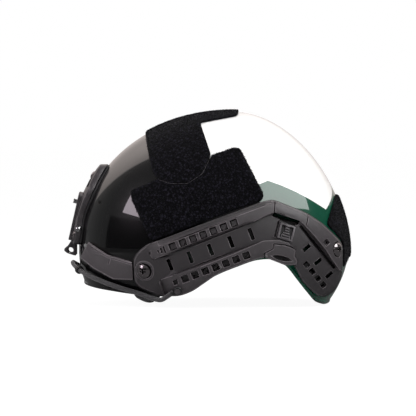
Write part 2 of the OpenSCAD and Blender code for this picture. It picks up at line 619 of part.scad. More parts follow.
// Loop panels, each outline as seen from the side
loop_in = bed;
loop_out = bed + loop_t;
top_line = [[-60.5, 175], [-59.8, 163.3], [-55.9, 143.9], [-52, 130.2], [-46.5, 123.6], [-34.5, 120.3], [-19, 120.7],
    [-5.5, 129.5], [3.4, 147.7], [-7.3, 179.4], [29.5, 186.4], [33, 200], [-60, 200]];
side_line = [[-73.8, 111.8], [-71.5, 113.9], [-48.1, 123.8], [3.4, 146.8], [25.5, 154.5], [31.4, 153.6], [53, 111.8],
    [53.9, 107], [51.5, 103.8], [-14, 79.6], [-50, 65.8], [-55.9, 66.4], [-73.8, 105.9]];
rear_line = [[126.8, 108], [116.4, 80.3], [130.2, 66], [133.4, 59.5], [133.4, 37], [139.5, 47.6], [160, 50], [160, 108]];
// Point on the cross-section at station y, a from the crown down to either side
function at_arch(a, y, t) = let (h = at_plan(0, y, t)[2] - mid_z, z = mid_z + h * cos(a))
    [sign(a) * side_x(y, z, t), y, z];
module loop_top() {
    color(fabric) intersection() {
        slab(function(a, y, t) at_arch(a, y, t), -63, 63, 18, -64, 36, 8, loop_in, loop_out);
        across(-120, 120) polygon(soften(top_line, 3));
    }
}
module loop_side() {
    color(fabric) difference() {
        intersection() {
            skin(-62, 14, 12, 60, 157, 9, loop_in, loop_out);
            across() polygon(soften(side_line, 4));
        }
        across() offset(delta = seam) polygon(soften(top_line, 3));
        across() offset(delta = seam) rail_shape();
    }
}
module loop_side_left() { loop_side(); }
module loop_side_right() { on_right() loop_side(); }
module loop_rear() {
    color(fabric) difference() {
        intersection() {
            skin(30, 150, 16, 30, 112, 8, loop_in, loop_out);
            across(-120, 120) polygon(soften(rear_line, 3));
        }
        for (s = [0, 1]) mirror([s, 0, 0]) across() offset(delta = seam) rail_shape();
    }
}

// Foam pads: a cushion on a surface function g(u, v, t), crowned and drawn in at its edges
module cushion(g, thick, n = 8) {
    slab(function(u, v, t) let (s = t > 0 ? 0.94 : 1, f = (1 - pow(u, 4)) * (1 - pow(v, 4)))
        g(s * u * sqrt(1 - 0.25 * v * v), s * v * sqrt(1 - 0.25 * u * u), t > 0 ? -thick * (0.6 + 0.4 * f) : 0),
        -1, 1, n, -1, 1, n, 1, 0);
}
pad_in = -wall - pad_bed;
module wall_pad(phi, wide, z, tall, thick = pad_t) {
    color(foam) cushion(function(u, v, t) at_height(phi + wide * u, z + tall * v, pad_in + t), thick);
}
module pad_front() {
    difference() {
        wall_pad(-90, 24, 78, 24);
        color(foam) for (p = shroud_screws) on_shroud_screw(p)
            translate([0, 0, -shroud_nut_at - 4]) cylinder(r = 5.6, h = 6, $fn = 40);
    }
}
module pad_side_left() { wall_pad(-9, 24, 90, 20); }
module pad_side_right() { on_right() pad_side_left(); }
module pad_rear() { wall_pad(90, 32, 92, 22); }
module pad_crown() {
    color(foam) cushion(function(u, v, t) at_arch(34 * u, 22 + 42 * v, pad_in + t), pad_t, 10);
}
module temple_pad() {
    color(foam) difference() {
        cushion(function(u, v, t) let (z = 27 + 31 * v) at_height(-51 + 6 * u, z, pad_in + t), 12);
        translate([0, -100, -20]) cube([150, 100, 20]);
        on_screw(front_screw) translate([0, 0, -nut_depth(front_screw) - 4]) cylinder(r = 7.6, h = 8, $fn = 40);
    }
}
module temple_pad_left() { temple_pad(); }
module temple_pad_right() { on_right() temple_pad(); }

// Nape cradle on two straight guides, drawn forward by its dial
guide_z = 56;
guide_x = at_height(30, guide_z, -14)[0]; // the bars meet the cradle's ends
bar_w = 3;
bar_h = 10;
bar_from = 36;
bar_to = at_height(30, guide_z, -14)[1] + 1.5;
guide_from = 34;
guide_to = 60;
cradle_z = 34;
function cradle_t(phi) = -12 - 14 * (pow(sin(phi), 2) - 0.25) / 0.75;
function cradle_mid(phi) = cradle_z + (guide_z - cradle_z) * pow(cos(phi), 2) / 0.75;
module rounded(w, h, r) { offset(r) translate([r, r]) square([w - 2 * r, h - 2 * r]); }
module guide() {
    color(black) difference() {
        intersection() {
            skin(2, 26, 5, 46, 66, 3, -32, -wall - bed);
            translate([guide_x - 3.3, 0, 0]) rotate([90, 0, 90]) linear_extrude(30)
                translate([guide_from, guide_z - bar_h / 2 - 2])
                    rounded(guide_to - guide_from, bar_h + 4, 3.5);
        }
        translate([guide_x - bar_w / 2 - fit, guide_from - 5, guide_z - bar_h / 2 - fit])
            cube([bar_w + 2 * fit, guide_to - guide_from + 10, bar_h + 2 * fit]);
    }
}
module guide_left() { guide(); }
module guide_right() { on_right() guide(); }
module cradle() {
    color(plastic) {
        slab(function(u, v, t) at_height(u, cradle_mid(u) + v, cradle_t(u) + t), 30, 150, 20, -9, 9, 2, -4, 0);
        for (s = [-1, 1]) translate([s * guide_x - bar_w / 2, bar_from, guide_z - bar_h / 2])
            cube([bar_w, bar_to - bar_from, bar_h]);
    }
}
module cradle_pad() {
    color(foam) cushion(function(u, v, t) at_height(90 + 34 * u, cradle_mid(90 + 34 * u) + 8 * v,
        cradle_t(90 + 34 * u) - 4 - bed + t), 6);
}
module on_dial() { on_face(90, cradle_z, cradle_t(90)) translate([0, 0, bed]) children(); }
module dial_housing() {
    color(black) on_dial() difference() {
        cylinder(r = dial_r - 2, h = 4, $fn = 64);
        translate([0, 0, 1]) cylinder(r = 3.2, h = 5, $fn = 32);
    }
}
module dial_knob() {
    color(plastic) on_dial() difference() {
        union() {
            translate([0, 0, 4 + fit]) cylinder(r = dial_r - 2, h = 7, $fn = 64);
            translate([0, 0, 1.3]) cylinder(r = 3, h = 4, $fn = 32);
        }
        for (k = [0:11]) rotate(30 * k) translate([dial_r - 0.6, 0, 4]) cylinder(r = 2.6, h = 10, $fn = 24);
        translate([0, 0, 10]) cylinder(r = dial_r - 6, h = 4, $fn = 48);
    }
}

shell();
rail_left();
rail_right();
latch_left();
latch_right();
insert_left();
insert_right();
screw_front_left();
screw_front_right();
screw_rear_left();
screw_rear_right();
nut_front_left();
nut_front_right();
nut_rear_left();
nut_rear_right();
brow_band_left();
brow_band_right();
bungee();
bungee_hook_left();
bungee_hook_right();
cord_bead();
shroud_gasket();
shroud_frame();
shroud_plate();
shroud_lock();
shroud_screw_top();
shroud_screw_left();
shroud_screw_right();
shroud_nut_top();
shroud_nut_left();
shroud_nut_right();
side_bolt_left();
side_bolt_right();
loop_top();
loop_side_left();
loop_side_right();
loop_rear();
pad_front();
pad_crown();
pad_side_left();
pad_side_right();
pad_rear();
temple_pad_left();
temple_pad_right();
guide_left();
guide_right();
cradle();
cradle_pad();
dial_housing();
dial_knob();
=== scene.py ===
import math
import bmesh
import bpy
import numpy as np
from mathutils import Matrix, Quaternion, Vector
from mathutils.geometry import delaunay_2d_cdt


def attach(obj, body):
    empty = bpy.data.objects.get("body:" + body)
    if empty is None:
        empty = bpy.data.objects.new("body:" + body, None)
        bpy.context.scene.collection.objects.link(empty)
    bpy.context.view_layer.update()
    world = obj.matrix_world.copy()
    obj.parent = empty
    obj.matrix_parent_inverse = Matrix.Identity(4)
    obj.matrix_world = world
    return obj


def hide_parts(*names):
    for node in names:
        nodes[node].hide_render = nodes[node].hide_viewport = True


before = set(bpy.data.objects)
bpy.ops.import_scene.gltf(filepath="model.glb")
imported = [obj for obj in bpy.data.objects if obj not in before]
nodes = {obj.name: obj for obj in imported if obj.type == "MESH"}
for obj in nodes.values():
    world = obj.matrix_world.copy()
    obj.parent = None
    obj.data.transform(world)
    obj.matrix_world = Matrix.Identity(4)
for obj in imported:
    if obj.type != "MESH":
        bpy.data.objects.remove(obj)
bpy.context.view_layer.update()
mm = 0.001

# The camera stands far off on the wearer's left, a little above the brim
photoView = {"distance": 3.6, "rise": 1.5, "aim": (0.05, 0.0005, 0.0953), "width": 0.4044}


def linked(name, data):
    piece = bpy.data.objects.new(name, data)
    bpy.context.scene.collection.objects.link(piece)
    return piece


def setCamera(view):
    data = bpy.data.cameras.new("photoCamera")
    data.sensor_width = 36
    data.lens = 36 * view["distance"] / view["width"]
    camera = linked("photoCamera", data)
    rise, aim = math.radians(view["rise"]), Vector(view["aim"])
    camera.location = aim + view["distance"] * Vector((math.cos(rise), 0, math.sin(rise)))
    camera.rotation_euler = (aim - camera.location).to_track_quat("-Z", "Y").to_euler()
    bpy.context.scene.camera = camera


setCamera(photoView)
print("camera set")


# Shader and geometry maths as plain Python expressions
class Wire:
    def __init__(self, bench, socket):
        self.bench, self.socket = bench, socket

    def ramp(self, low, high):  # 0 at low, 1 at high, smooth between them
        return self.bench.add("ShaderNodeMapRange", {"interpolation_type": "SMOOTHSTEP"},
                              {"Value": self, "From Min": low, "From Max": high})


def named(operation, order=1):
    def run(wire, *others):
        inputs = dict(enumerate((wire, *others)[::order]))
        return wire.bench.add("ShaderNodeMath", {"operation": operation}, inputs)
    return run


for word, operation in {"add": "ADD", "sub": "SUBTRACT", "mul": "MULTIPLY", "truediv": "DIVIDE",
                        "pow": "POWER"}.items():
    setattr(Wire, f"__{word}__", named(operation))
    setattr(Wire, f"__r{word}__", named(operation, -1))
for word, operation in {"__lt__": "LESS_THAN", "__gt__": "GREATER_THAN", "__abs__": "ABSOLUTE", "sin": "SINE",
                        "cos": "COSINE", "sign": "SIGN", "least": "MINIMUM", "most": "MAXIMUM"}.items():
    setattr(Wire, word, named(operation))


class Bench:
    def __init__(self, tree):
        self.tree = tree

    def find(self, sockets, key):
        if isinstance(key, int):
            return sockets[key]
        for name in ("name", "identifier"):
            for socket in sockets:
                if getattr(socket, name) == key and (name == "identifier" or socket.enabled):
                    return socket
        raise KeyError(key)

    def add(self, kind, settings=None, sockets=None, out=0):
        node = self.tree.nodes.new(kind)
        for name, value in (settings or {}).items():
            setattr(node, name, value)
        for key, value in (sockets or {}).items():
            socket = self.find(node.inputs, key)
            if isinstance(value, Wire):
                self.tree.links.new(value.socket, socket)
            else:
                socket.default_value = value
        return Wire(self, self.find(node.outputs, out)) if len(node.outputs) else node

    def mix(self, factor, low, high):  # colours
        pair = [(*c, 1) if isinstance(c, tuple) and len(c) == 3 else c for c in (low, high)]
        return self.add("ShaderNodeMix", {"data_type": "RGBA"},
                        {"Factor_Float": factor, "A_Color": pair[0], "B_Color": pair[1]}, "Result_Color")

    def place(self, kind="Object"):
        return self.add("ShaderNodeTexCoord", out=kind)

    def axes(self, vector):
        parts = self.add("ShaderNodeSeparateXYZ", sockets={0: vector}).socket.node
        return [Wire(self, socket) for socket in parts.outputs]

    def noise(self, vector, scale, detail=3, rough=0.55, stretch=(1, 1, 1)):
        if stretch != (1, 1, 1):
            vector = self.add("ShaderNodeMapping", sockets={"Vector": vector, "Scale": stretch})
        return self.add("ShaderNodeTexNoise", sockets={"Vector": vector, "Scale": scale, "Detail": detail,
                                                       "Roughness": rough})

    def bump(self, height, distance, strength=1.0, under=None):
        sockets = {"Height": height, "Distance": distance, "Strength": strength}
        if under is not None:
            sockets["Normal"] = under
        return self.add("ShaderNodeBump", sockets=sockets)

    def stored(self, name):  # a value kept on the mesh
        return self.add("ShaderNodeAttribute", {"attribute_name": name}, out="Fac")


def newMaterial(name):
    material = bpy.data.materials.new(name)
    material.use_nodes = True
    material.node_tree.nodes.clear()
    return material, Bench(material.node_tree)


def finishMaterial(material, b, shader=None, **sockets):
    if shader is None:
        spaced = {name.replace("_", " "): value for name, value in sockets.items()}
        shader = b.add("ShaderNodeBsdfPrincipled", sockets=spaced)
    b.add("ShaderNodeOutputMaterial", sockets={"Surface": shader})
    return material


# Where the side panel is cut to the top panel's outline, in side view: the cut's pale edge and the glue show
panelCut = {"front": -0.0475, "rear": 0.002, "low": 0.1165, "glueTop": 0.146, "edgeTop": 0.133}


def cutMask(y, z, top):
    p = panelCut
    return (y - p["front"]).least(p["rear"] - y).least(z - p["low"]).least(p[top] - z).ramp(-0.0001, 0.0001)


# Painted shell: black front, white rear panel with a notched edge, dark green lip, under one clear coat
paint = {"black": (0.0007, 0.0007, 0.0009), "green": (0.002, 0.052, 0.028), "white": (0.80, 0.80, 0.79),
         "roughness": 0.32, "coatRoughness": 0.025, "coatIor": 1.55, "peel": 0.00003, "peelScale": 190,
         "cloudScale": 14, "fleckScale": 900,
         "join": (0.0578, 0.1226), "fall": (0.306, 3.41), "rise": 0.44, "rear": (0.0667, 0.093),
         "rearRise": (0.62, -2.6), "front": -0.025, "seam": (0.0515, 0.06, 0.1177, 0.3),
         "border": 0.0002, "hole": (-0.1048, 0.1006), "holeSize": 0.0013, "glue": (0.16, 0.15, 0.16),
         "shadeWidth": 0.013, "shadeAmount": 0.75,
         "shade": ((-0.0365, 0.042, 21, 0.042, 0.056), (0.0965, 0.0585, -51, 0.01, 0.032),
                   (0.0756, 0.0867, -19, 0, 0.015))}  # place, tilt, middle and reach of each row of slots


def shellPaint(p):
    material, b = newMaterial("shellPaint")
    at = b.place()
    x, y, z = b.axes(at)
    along, across = y - p["join"][0], p["rear"][0] - abs(x)
    side = (p["join"][1] - along * (p["fall"][0] + along * p["fall"][1])).least(p["join"][1] + along * p["rise"])
    edge = side.most(p["rear"][1] + across * (p["rearRise"][0] + across * p["rearRise"][1]))
    blur = p["border"]
    panel = (z - edge).ramp(-blur, blur)
    end, low, high, fall = p["seam"]  # the black runs on along the rail, under the side panel
    seam = (end - y).least(z - low).least(high - y * fall - z).ramp(-blur, blur)
    ahead = (p["front"] - y).ramp(-blur, blur).most(seam)
    cloud = b.noise(at, p["cloudScale"], 4)
    fleck = b.noise(at, p["fleckScale"], 2)
    green = b.mix(cloud.ramp(0.3, 0.7), tuple(0.85 * c for c in p["green"]), tuple(1.15 * c for c in p["green"]))
    white = b.mix(cloud.ramp(0.3, 0.7), tuple(0.96 * c for c in p["white"]), p["white"])
    black = b.mix(fleck.ramp(0.55, 0.75), p["black"], tuple(1.8 * c for c in p["black"]))
    colour = b.mix(ahead, b.mix(panel, green, white), black)
    colour = b.mix(cutMask(y, z, "glueTop"), colour, p["glue"])
    for cy, cz, tilt, middle, reach in p["shade"]:  # the paint lies in shade under the rails' slots
        c, s = math.cos(math.radians(tilt)), math.sin(math.radians(tilt))
        dy, dz = y - cy, z - cz
        over = p["shadeWidth"] - abs(dz * c - dy * s)
        near = (reach - abs(dy * c + dz * s - middle)).least(over).ramp(0, 0.002)
        colour = b.mix(near * p["shadeAmount"], colour, (0.001, 0.001, 0.001))
    # small bolt hole on each side of the brow, where the surface slants: painted shade, a near-black spot with a
    # dent, stands for the hole
    dy, dz = y - p["hole"][0], z - p["hole"][1]
    gap = ((dy * 0.8 - dz * 0.6) ** 2 + (dy * 0.5 + dz * 0.65) ** 2) ** 0.5
    hole = gap.ramp(p["holeSize"], p["holeSize"] + 0.0003)
    colour = b.mix(hole, (0.001, 0.001, 0.001), colour)
    rough = p["roughness"] + (cloud - 0.5) * 0.08
    dent = b.bump(hole, 0.0006, 1.0, b.bump(b.noise(at, p["peelScale"], 2), p["peel"], 1.0))
    return finishMaterial(material, b, Base_Color=colour, Roughness=rough, Normal=dent, Coat_Weight=hole,
                          Specular_IOR_Level=0.15, Coat_Roughness=p["coatRoughness"], Coat_IOR=p["coatIor"])


# Moulded, metal and cloth finishes: colour, how rough, how coarse the grain is
plastics = {
    "railPlastic": {"colour": (0.035, 0.0305, 0.0335), "worn": (0.056, 0.049, 0.054), "rough": 0.47, "grain": 2600,
                    "depth": 0.00004},
    # railEdge: lighter, glossier bevel faces, for edge wear and a painted highlight along the edges
    "railEdge": {"colour": (0.105, 0.092, 0.100), "worn": (0.16, 0.14, 0.152), "rough": 0.34, "grain": 2600,
                 "depth": 0.00003},
    "latchPlastic": {"colour": (0.060, 0.054, 0.059), "worn": (0.105, 0.095, 0.103), "rough": 0.42, "grain": 2400,
                     "depth": 0.00004},
    "hookPlastic": {"colour": (0.012, 0.012, 0.013), "worn": (0.030, 0.029, 0.030), "rough": 0.40, "grain": 2200,
                    "depth": 0.00004},
    "linerPlastic": {"colour": (0.014, 0.014, 0.015), "worn": (0.030, 0.030, 0.031), "rough": 0.52, "grain": 1500,
                     "depth": 0.00006},
    "linerCoat": {"colour": (0.020, 0.020, 0.021), "worn": (0.034, 0.034, 0.035), "rough": 0.7, "grain": 700,
                  "depth": 0.00012},
    "gasketRubber": {"colour": (0.011, 0.011, 0.012), "worn": (0.022, 0.022, 0.022), "rough": 0.66, "grain": 1300,
                     "depth": 0.00005},
}
# rub and fleck set wear; sunk and sunkReach set the painted shade in recesses
plasticWearAndShade = {"cloudScale": 35, "rubScale": 210, "rub": 0.7, "fleck": 0.3, "sunk": 0.86, "sunkReach": (0.4, 6.0)}


def mouldedPlastic(name, p):
    material, b = newMaterial(name)
    at, wearAndShade = b.place(), plasticWearAndShade
    grain = b.noise(at, p["grain"], 3, 0.6)
    cloud = b.noise(at, wearAndShade["cloudScale"], 4)
    rub = b.noise(at, wearAndShade["rubScale"], 5, 0.7)
    worn = rub.ramp(0.52, 0.78) * wearAndShade["rub"] + grain.ramp(0.6, 0.85) * wearAndShade["fleck"]
    colour = b.mix(worn, p["colour"], p["worn"])
    if name in ("railPlastic", "railEdge", "latchPlastic"):  # how deep a point lies under the face, in mm
        # painted shade: recessed plastic is darkened by its depth under the face
        colour = b.mix(b.stored("sunk").ramp(*wearAndShade["sunkReach"]) * wearAndShade["sunk"], colour, (0.002, 0.002, 0.0025))
    rough = p["rough"] + (cloud - 0.5) * 0.22 + (grain - 0.5) * 0.12
    return finishMaterial(material, b, Base_Color=colour, Roughness=rough, Normal=b.bump(grain, p["depth"], 0.8))


metals = {
    "darkSteel": {"colour": (0.27, 0.245, 0.255), "worn": (0.40, 0.37, 0.38), "metallic": 1.0, "rough": 0.17},
    "brightSteel": {"colour": (0.52, 0.52, 0.53), "worn": (0.72, 0.71, 0.70), "metallic": 1.0, "rough": 0.22},
    "shroudMetal": {"colour": (0.040, 0.036, 0.039), "worn": (0.105, 0.096, 0.101), "metallic": 0.35, "rough": 0.42},
}
# brushScale and spotScale set grain and wear; sunkReach sets the painted shade in the screw recess
metalWearAndShade = {"brushScale": 420, "spotScale": 160, "sunkReach": (0.05, 0.7)}


def turnedMetal(name, p):
    material, b = newMaterial(name)
    at = b.place()
    brushed = b.noise(at, metalWearAndShade["brushScale"], 4, 0.65, (1, 1, 6))
    spot = b.noise(at, metalWearAndShade["spotScale"], 5, 0.7)
    colour = b.mix(spot.ramp(0.5, 0.8), p["colour"], p["worn"])
    if name == "darkSteel":  # the driver's recess stays dark
        # painted shade: the driver's recess is darkened
        colour = b.mix(b.stored("sunk").ramp(*metalWearAndShade["sunkReach"]), colour, (0.004, 0.004, 0.004))
    rough = p["rough"] + (brushed - 0.5) * 0.18 + (spot - 0.5) * 0.1
    return finishMaterial(material, b, Base_Color=colour, Roughness=rough, Metallic=p["metallic"],
                          Normal=b.bump(brushed, 0.00003, 0.6))


loopPile = {"dark": (0.0007, 0.0007, 0.0013), "light": (0.0135, 0.0125, 0.0190), "scale": 430, "rough": 1.0,
            "patchScale": 330, "threadScale": 1500,
            "backing": (0.15, 0.14, 0.15)}


def loopFabric(p):
    material, b = newMaterial("loopFabric")
    at = b.place()
    tuft = b.add("ShaderNodeTexVoronoi", {"feature": "F1"}, {"Vector": at, "Scale": p["scale"]}, "Distance")
    patch = b.noise(at, p["patchScale"], 3, 0.6)
    thread = b.noise(at, p["threadScale"], 3, 0.7)
    speck = (1 - tuft.ramp(0.1, 0.75)) * 0.55 + thread * 0.45
    colour = b.mix(speck.ramp(0.3, 0.72) * patch.ramp(0.36, 0.66), p["dark"], p["light"])
    y, z = b.axes(at)[1:]
    colour = b.mix(b.stored("sunk").ramp(0.6, 0.9) * cutMask(y, z, "edgeTop"), colour, p["backing"])
    normal = b.bump(tuft * -0.6 + thread * 0.5, 0.0006, 0.9)
    return finishMaterial(material, b, Base_Color=colour, Roughness=p["rough"], Specular_IOR_Level=0.06,
                          Normal=normal, Sheen_Weight=0.05, Sheen_Roughness=0.5)


padCloth = {"dark": (0.010, 0.010, 0.011), "light": (0.030, 0.030, 0.032), "weave": 1100, "rough": 0.92}


def padFabric(p):
    material, b = newMaterial("padFabric")
    at = b.place()
    warp, weft = (b.add("ShaderNodeTexWave", {"bands_direction": way},
                        {"Vector": at, "Scale": p["weave"] / 6.28, "Distortion": 1.5, "Detail": 1.0})
                  for way in ("Z", "DIAGONAL"))
    nap = b.noise(at, 60, 4)
    weave = warp.most(weft)
    colour = b.mix(weave * 0.6 + nap * 0.4, p["dark"], p["light"])
    return finishMaterial(material, b, Base_Color=colour, Roughness=p["rough"], Sheen_Weight=0.25,
                          Normal=b.bump(weave, 0.00018, 0.8, b.bump(nap, 0.0006, 0.5)))


braid = {"dark": (0.006, 0.006, 0.007), "light": (0.042, 0.039, 0.042), "strands": 8, "pitch": 0.0075,
         "rough": 0.72}


def cordBraid(p):  # u runs round the cord, v along it in metres
    material, b = newMaterial("cordBraid")
    u, v = b.axes(b.place("UV"))[:2]
    half = p["strands"] * 2 * math.pi / 2
    across, lay = u * half, v * (half / p["pitch"])
    strand = abs((across + lay).sin() * (across - lay).sin())
    fibre = b.noise(b.place(), 2400, 3, 0.7)
    colour = b.mix(strand.ramp(0.05, 0.8) * 0.75 + fibre * 0.25, p["dark"], p["light"])
    return finishMaterial(material, b, Base_Color=colour, Roughness=p["rough"], Sheen_Weight=0.2,
                          Normal=b.bump(strand, 0.00025, 0.9, b.bump(fibre, 0.00008, 0.6)))


finishes = {"shellPaint": shellPaint(paint), "loopFabric": loopFabric(loopPile), "padFabric": padFabric(padCloth),
            "cordBraid": cordBraid(braid)}
finishes.update({name: mouldedPlastic(name, p) for name, p in plastics.items()})
finishes.update({name: turnedMetal(name, p) for name, p in metals.items()})
print("finishes made")


# The shell's surface: one rule for plan and profile, in metres
dome = {"halfWidth": 0.104, "front": 0.1555, "rear": 0.1095, "crown": 0.1355, "wall": 0.004, "midY": 0.029,
        "midZ": 0.053, "planFront": 2.3, "planRear": 2.45, "riseFront": 2.12, "riseSide": 2.0, "riseRear": 1.79,
        "underFront": 0.105, "underSide": 0.095, "underRear": 0.1}
edgePoints = np.array([[-128, 20], [-100, 15.5], [-50, 11], [-18, 16.2], [8, 31.4], [30, 40.6], [48, 46.5],
                       [66, 46.4], [77, 39.6], [88, 25.7], [96, 15.2], [104, 5.4], [111, 1.4], [118, 0.2],
                       [150, 0.2]]) * mm


def endMix(phi, kind):
    k, side = np.sin(phi), dome[kind + "Side"]
    return side + k * k * (np.where(k < 0, dome[kind + "Front"], dome[kind + "Rear"]) - side)


def planRule(u, t):  # reach and power of the plan, ahead of the middle or behind it
    return np.where(u < 0, dome["front"], dome["rear"]) + t, np.where(u < 0, dome["planFront"], dome["planRear"])


def planRadius(phi, t):
    k = np.sin(phi)
    reach, power = planRule(k, t)
    return (np.abs(np.cos(phi) / (dome["halfWidth"] + t)) ** power + np.abs(k / reach) ** power) ** (-1 / power)


def riseOf(phi):
    return endMix(phi, "rise")


def depthOf(phi, w, t):
    return np.where(w < 0, endMix(phi, "under"), dome["crown"]) + t


def stacked(*parts):
    return np.stack(np.broadcast_arrays(*parts), -1)


def unit(vectors):
    return vectors / np.linalg.norm(vectors, axis=-1, keepdims=True)


def atHeight(phi, z, t):  # plan angle, height, distance outside the shell
    q = riseOf(phi)
    w = z - dome["midZ"]
    r = planRadius(phi, t) * np.maximum(1 - (np.abs(w) / depthOf(phi, w, t)) ** q, 0) ** (1 / q)
    return stacked(r * np.cos(phi), dome["midY"] + r * np.sin(phi), z)


def atClimb(phi, a, t):  # plan angle, climb from the widest level to the crown
    q = riseOf(phi)
    r = planRadius(phi, t) * np.maximum(np.cos(a), 0) ** (2 / q)
    z = dome["midZ"] + np.sign(a) * depthOf(phi, a, t) * np.abs(np.sin(a)) ** (2 / q)
    return stacked(r * np.cos(phi), dome["midY"] + r * np.sin(phi), z)


def sideX(y, z, t):
    phi = np.zeros_like(np.asarray(y) + np.asarray(z), float)
    w, u = z - dome["midZ"], y - dome["midY"]
    reach, power = planRule(u, t)
    for _ in range(9):
        q = riseOf(phi)
        k = np.maximum(1 - (np.abs(w) / depthOf(phi, w, t)) ** q, 1e-9) ** (1 / q)
        x = k * (dome["halfWidth"] + t) * np.maximum(1 - np.abs(u / (k * reach)) ** power, 1e-4) ** (1 / power)
        phi = np.arctan2(u, x)
    return x


def sidePoint(y, z, t):
    return stacked(sideX(y, z, t), y, z)


def sideNormal(y, z, t, d=0.0005):
    return unit(stacked(1.0, (sideX(y - d, z, t) - sideX(y + d, z, t)) / (2 * d),
                        (sideX(y, z - d, t) - sideX(y, z + d, t)) / (2 * d)))


def archPoint(a, y, t):  # cross-section at station y, a from the crown down to either side
    u = y - dome["midY"]
    phi = np.arctan2(u, 1e-9)
    q = riseOf(phi)
    s = np.minimum(np.abs(u) / planRadius(phi, t), 1)
    h = (dome["crown"] + t) * (1 - s ** q) ** (1 / q)
    z = dome["midZ"] + h * np.cos(a)
    return stacked(np.sign(a) * sideX(y, z, t), y, z)


def edgeHeight(y):  # lower edge of the shell in side view
    p = edgePoints
    ends, inner = p[1:] - p[:-1], p[2:] - p[:-2]
    tangent = np.array([ends[0, 1] / ends[0, 0], *(inner[:, 1] / inner[:, 0]), ends[-1, 1] / ends[-1, 0]])
    i = np.clip(np.searchsorted(p[:, 0], y, side="right") - 1, 0, len(p) - 2)
    h = p[i + 1, 0] - p[i, 0]
    s = np.clip((y - p[i, 0]) / h, 0, 1)
    r = 1 - s
    return (p[i, 1] * (1 + 2 * s) * r * r + p[i + 1, 1] * s * s * (1 + 2 * r)
            + tangent[i] * h * s * r * r - tangent[i + 1] * h * s * s * r)


def edgeClimb(phi):
    a = np.zeros_like(phi)
    for _ in range(8):
        w = edgeHeight(atClimb(phi, a, 0)[..., 1]) - dome["midZ"]
        s = np.minimum(np.abs(w) / depthOf(phi, w, 0), 1)
        a = np.sign(w) * np.arcsin(s ** (riseOf(phi) / 2))
    return a


# Meshes
def meshObject(name, points, faces, material=None):
    data = bpy.data.meshes.new(name)
    data.from_pydata([tuple(p) for p in points], [], [tuple(int(i) for i in f) for f in faces])
    data.validate()
    if material:
        data.materials.append(finishes[material])
    return linked(name, data)


def keep(piece, name, values, domain="POINT"):  # stores values on the mesh
    piece.data.attributes.new(name, "FLOAT", domain).data.foreach_set("value", values)


def around(centre, u, v, r, n):  # n points round a centre, or round each of a row of centres
    turn = np.linspace(0, 2 * math.pi, n, endpoint=False)[:, None]
    centre, u, v = (np.asarray(q)[..., None, :] for q in (centre, u, v))
    return centre + r * (np.cos(turn) * u + np.sin(turn) * v)


def ringFaces(rings, n, start=0, closed=False):  # joins neighbouring rings of n points
    pairs = [(i, (i + 1) % rings) for i in range(rings if closed else rings - 1)]
    return [tuple(start + a * n + b % n for a, b in ((i, k), (i, k + 1), (j, k + 1), (j, k)))
            for i, j in pairs for k in range(n)]


def edit(piece, work):  # one pass of mesh code on a piece
    mesh = bmesh.new()
    mesh.from_mesh(piece.data)
    work(mesh)
    mesh.to_mesh(piece.data)
    mesh.free()


def facesOut(piece):
    def work(mesh):
        bmesh.ops.remove_doubles(mesh, verts=mesh.verts, dist=1e-7)
        bmesh.ops.recalc_face_normals(mesh, faces=mesh.faces)
    edit(piece, work)


def plainMesh(piece):  # what the modifiers give, as a mesh without them
    bpy.context.view_layer.update()
    solved = bpy.data.meshes.new_from_object(piece.evaluated_get(bpy.context.evaluated_depsgraph_get()))
    old = piece.data
    piece.modifiers.clear()
    piece.data = solved
    solved.name = piece.name
    bpy.data.meshes.remove(old)
    return piece


def smooth(piece, angle=None):
    piece.data.polygons.foreach_set("use_smooth", [True] * len(piece.data.polygons))
    if angle is not None:
        piece.data.set_sharp_from_angle(angle=math.radians(angle))


def bevelled(piece, width, angle=35, edgeWearAndHighlight=None):
    smooth(piece)
    bevel = piece.modifiers.new("edgeRound", "BEVEL")
    # the bevel faces take that finish: edge wear and a painted highlight
    if edgeWearAndHighlight:
        piece.data.materials.append(finishes[edgeWearAndHighlight])
        bevel.material = 1
    bevel.width, bevel.segments = width, 2
    bevel.limit_method, bevel.angle_limit = "ANGLE", math.radians(angle)
    bevel.use_clamp_overlap = False
    bevel.harden_normals = True
    return plainMesh(piece)


def mirrored(piece):
    twin = linked(piece.name.replace("Left", "Right").replace("left", "right"), piece.data.copy())

    def work(mesh):
        for vert in mesh.verts:
            vert.co.x = -vert.co.x
        bmesh.ops.reverse_faces(mesh, faces=mesh.faces)
    edit(twin, work)
    return twin


def settle(piece, body, slot, *replaced):
    if replaced:
        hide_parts(*replaced)
    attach(piece, body)
    return piece


def settlePair(left, slot, node=None):  # a piece of the left side and its mirror image
    for piece, side in ((left, "_left"), (mirrored(left), "_right")):
        settle(piece, "helmet", slot, *([node + side] if node else []))


# Geometry trees
def openTree(name, inputs):
    tree = bpy.data.node_groups.new(name, "GeometryNodeTree")
    for label, kind in inputs.items():
        tree.interface.new_socket(label, in_out="INPUT", socket_type="NodeSocket" + kind)
    tree.interface.new_socket("Geometry", in_out="OUTPUT", socket_type="NodeSocketGeometry")
    b = Bench(tree)
    given = tree.nodes.new("NodeGroupInput")
    return b, {label: Wire(b, b.find(given.outputs, label)) for label in inputs}


def storedField(b, name):
    return b.add("GeometryNodeInputNamedAttribute", {"data_type": "FLOAT"}, {"Name": name}, "Attribute")


def chained(b, shape, *steps):  # the geometry goes through one node after another, then out
    for kind, sockets in steps:
        shape = b.add("GeometryNode" + kind, sockets={"Geometry": shape, **sockets})
    b.add("NodeGroupOutput", sockets={0: shape})


def runTree(piece, tree, given):
    step = piece.modifiers.new(tree.name, "NODES")
    step.node_group = tree
    for item in tree.interface.items_tree:
        if item.in_out == "INPUT" and item.name in given:
            step[item.identifier] = given[item.name]
    plainMesh(piece)


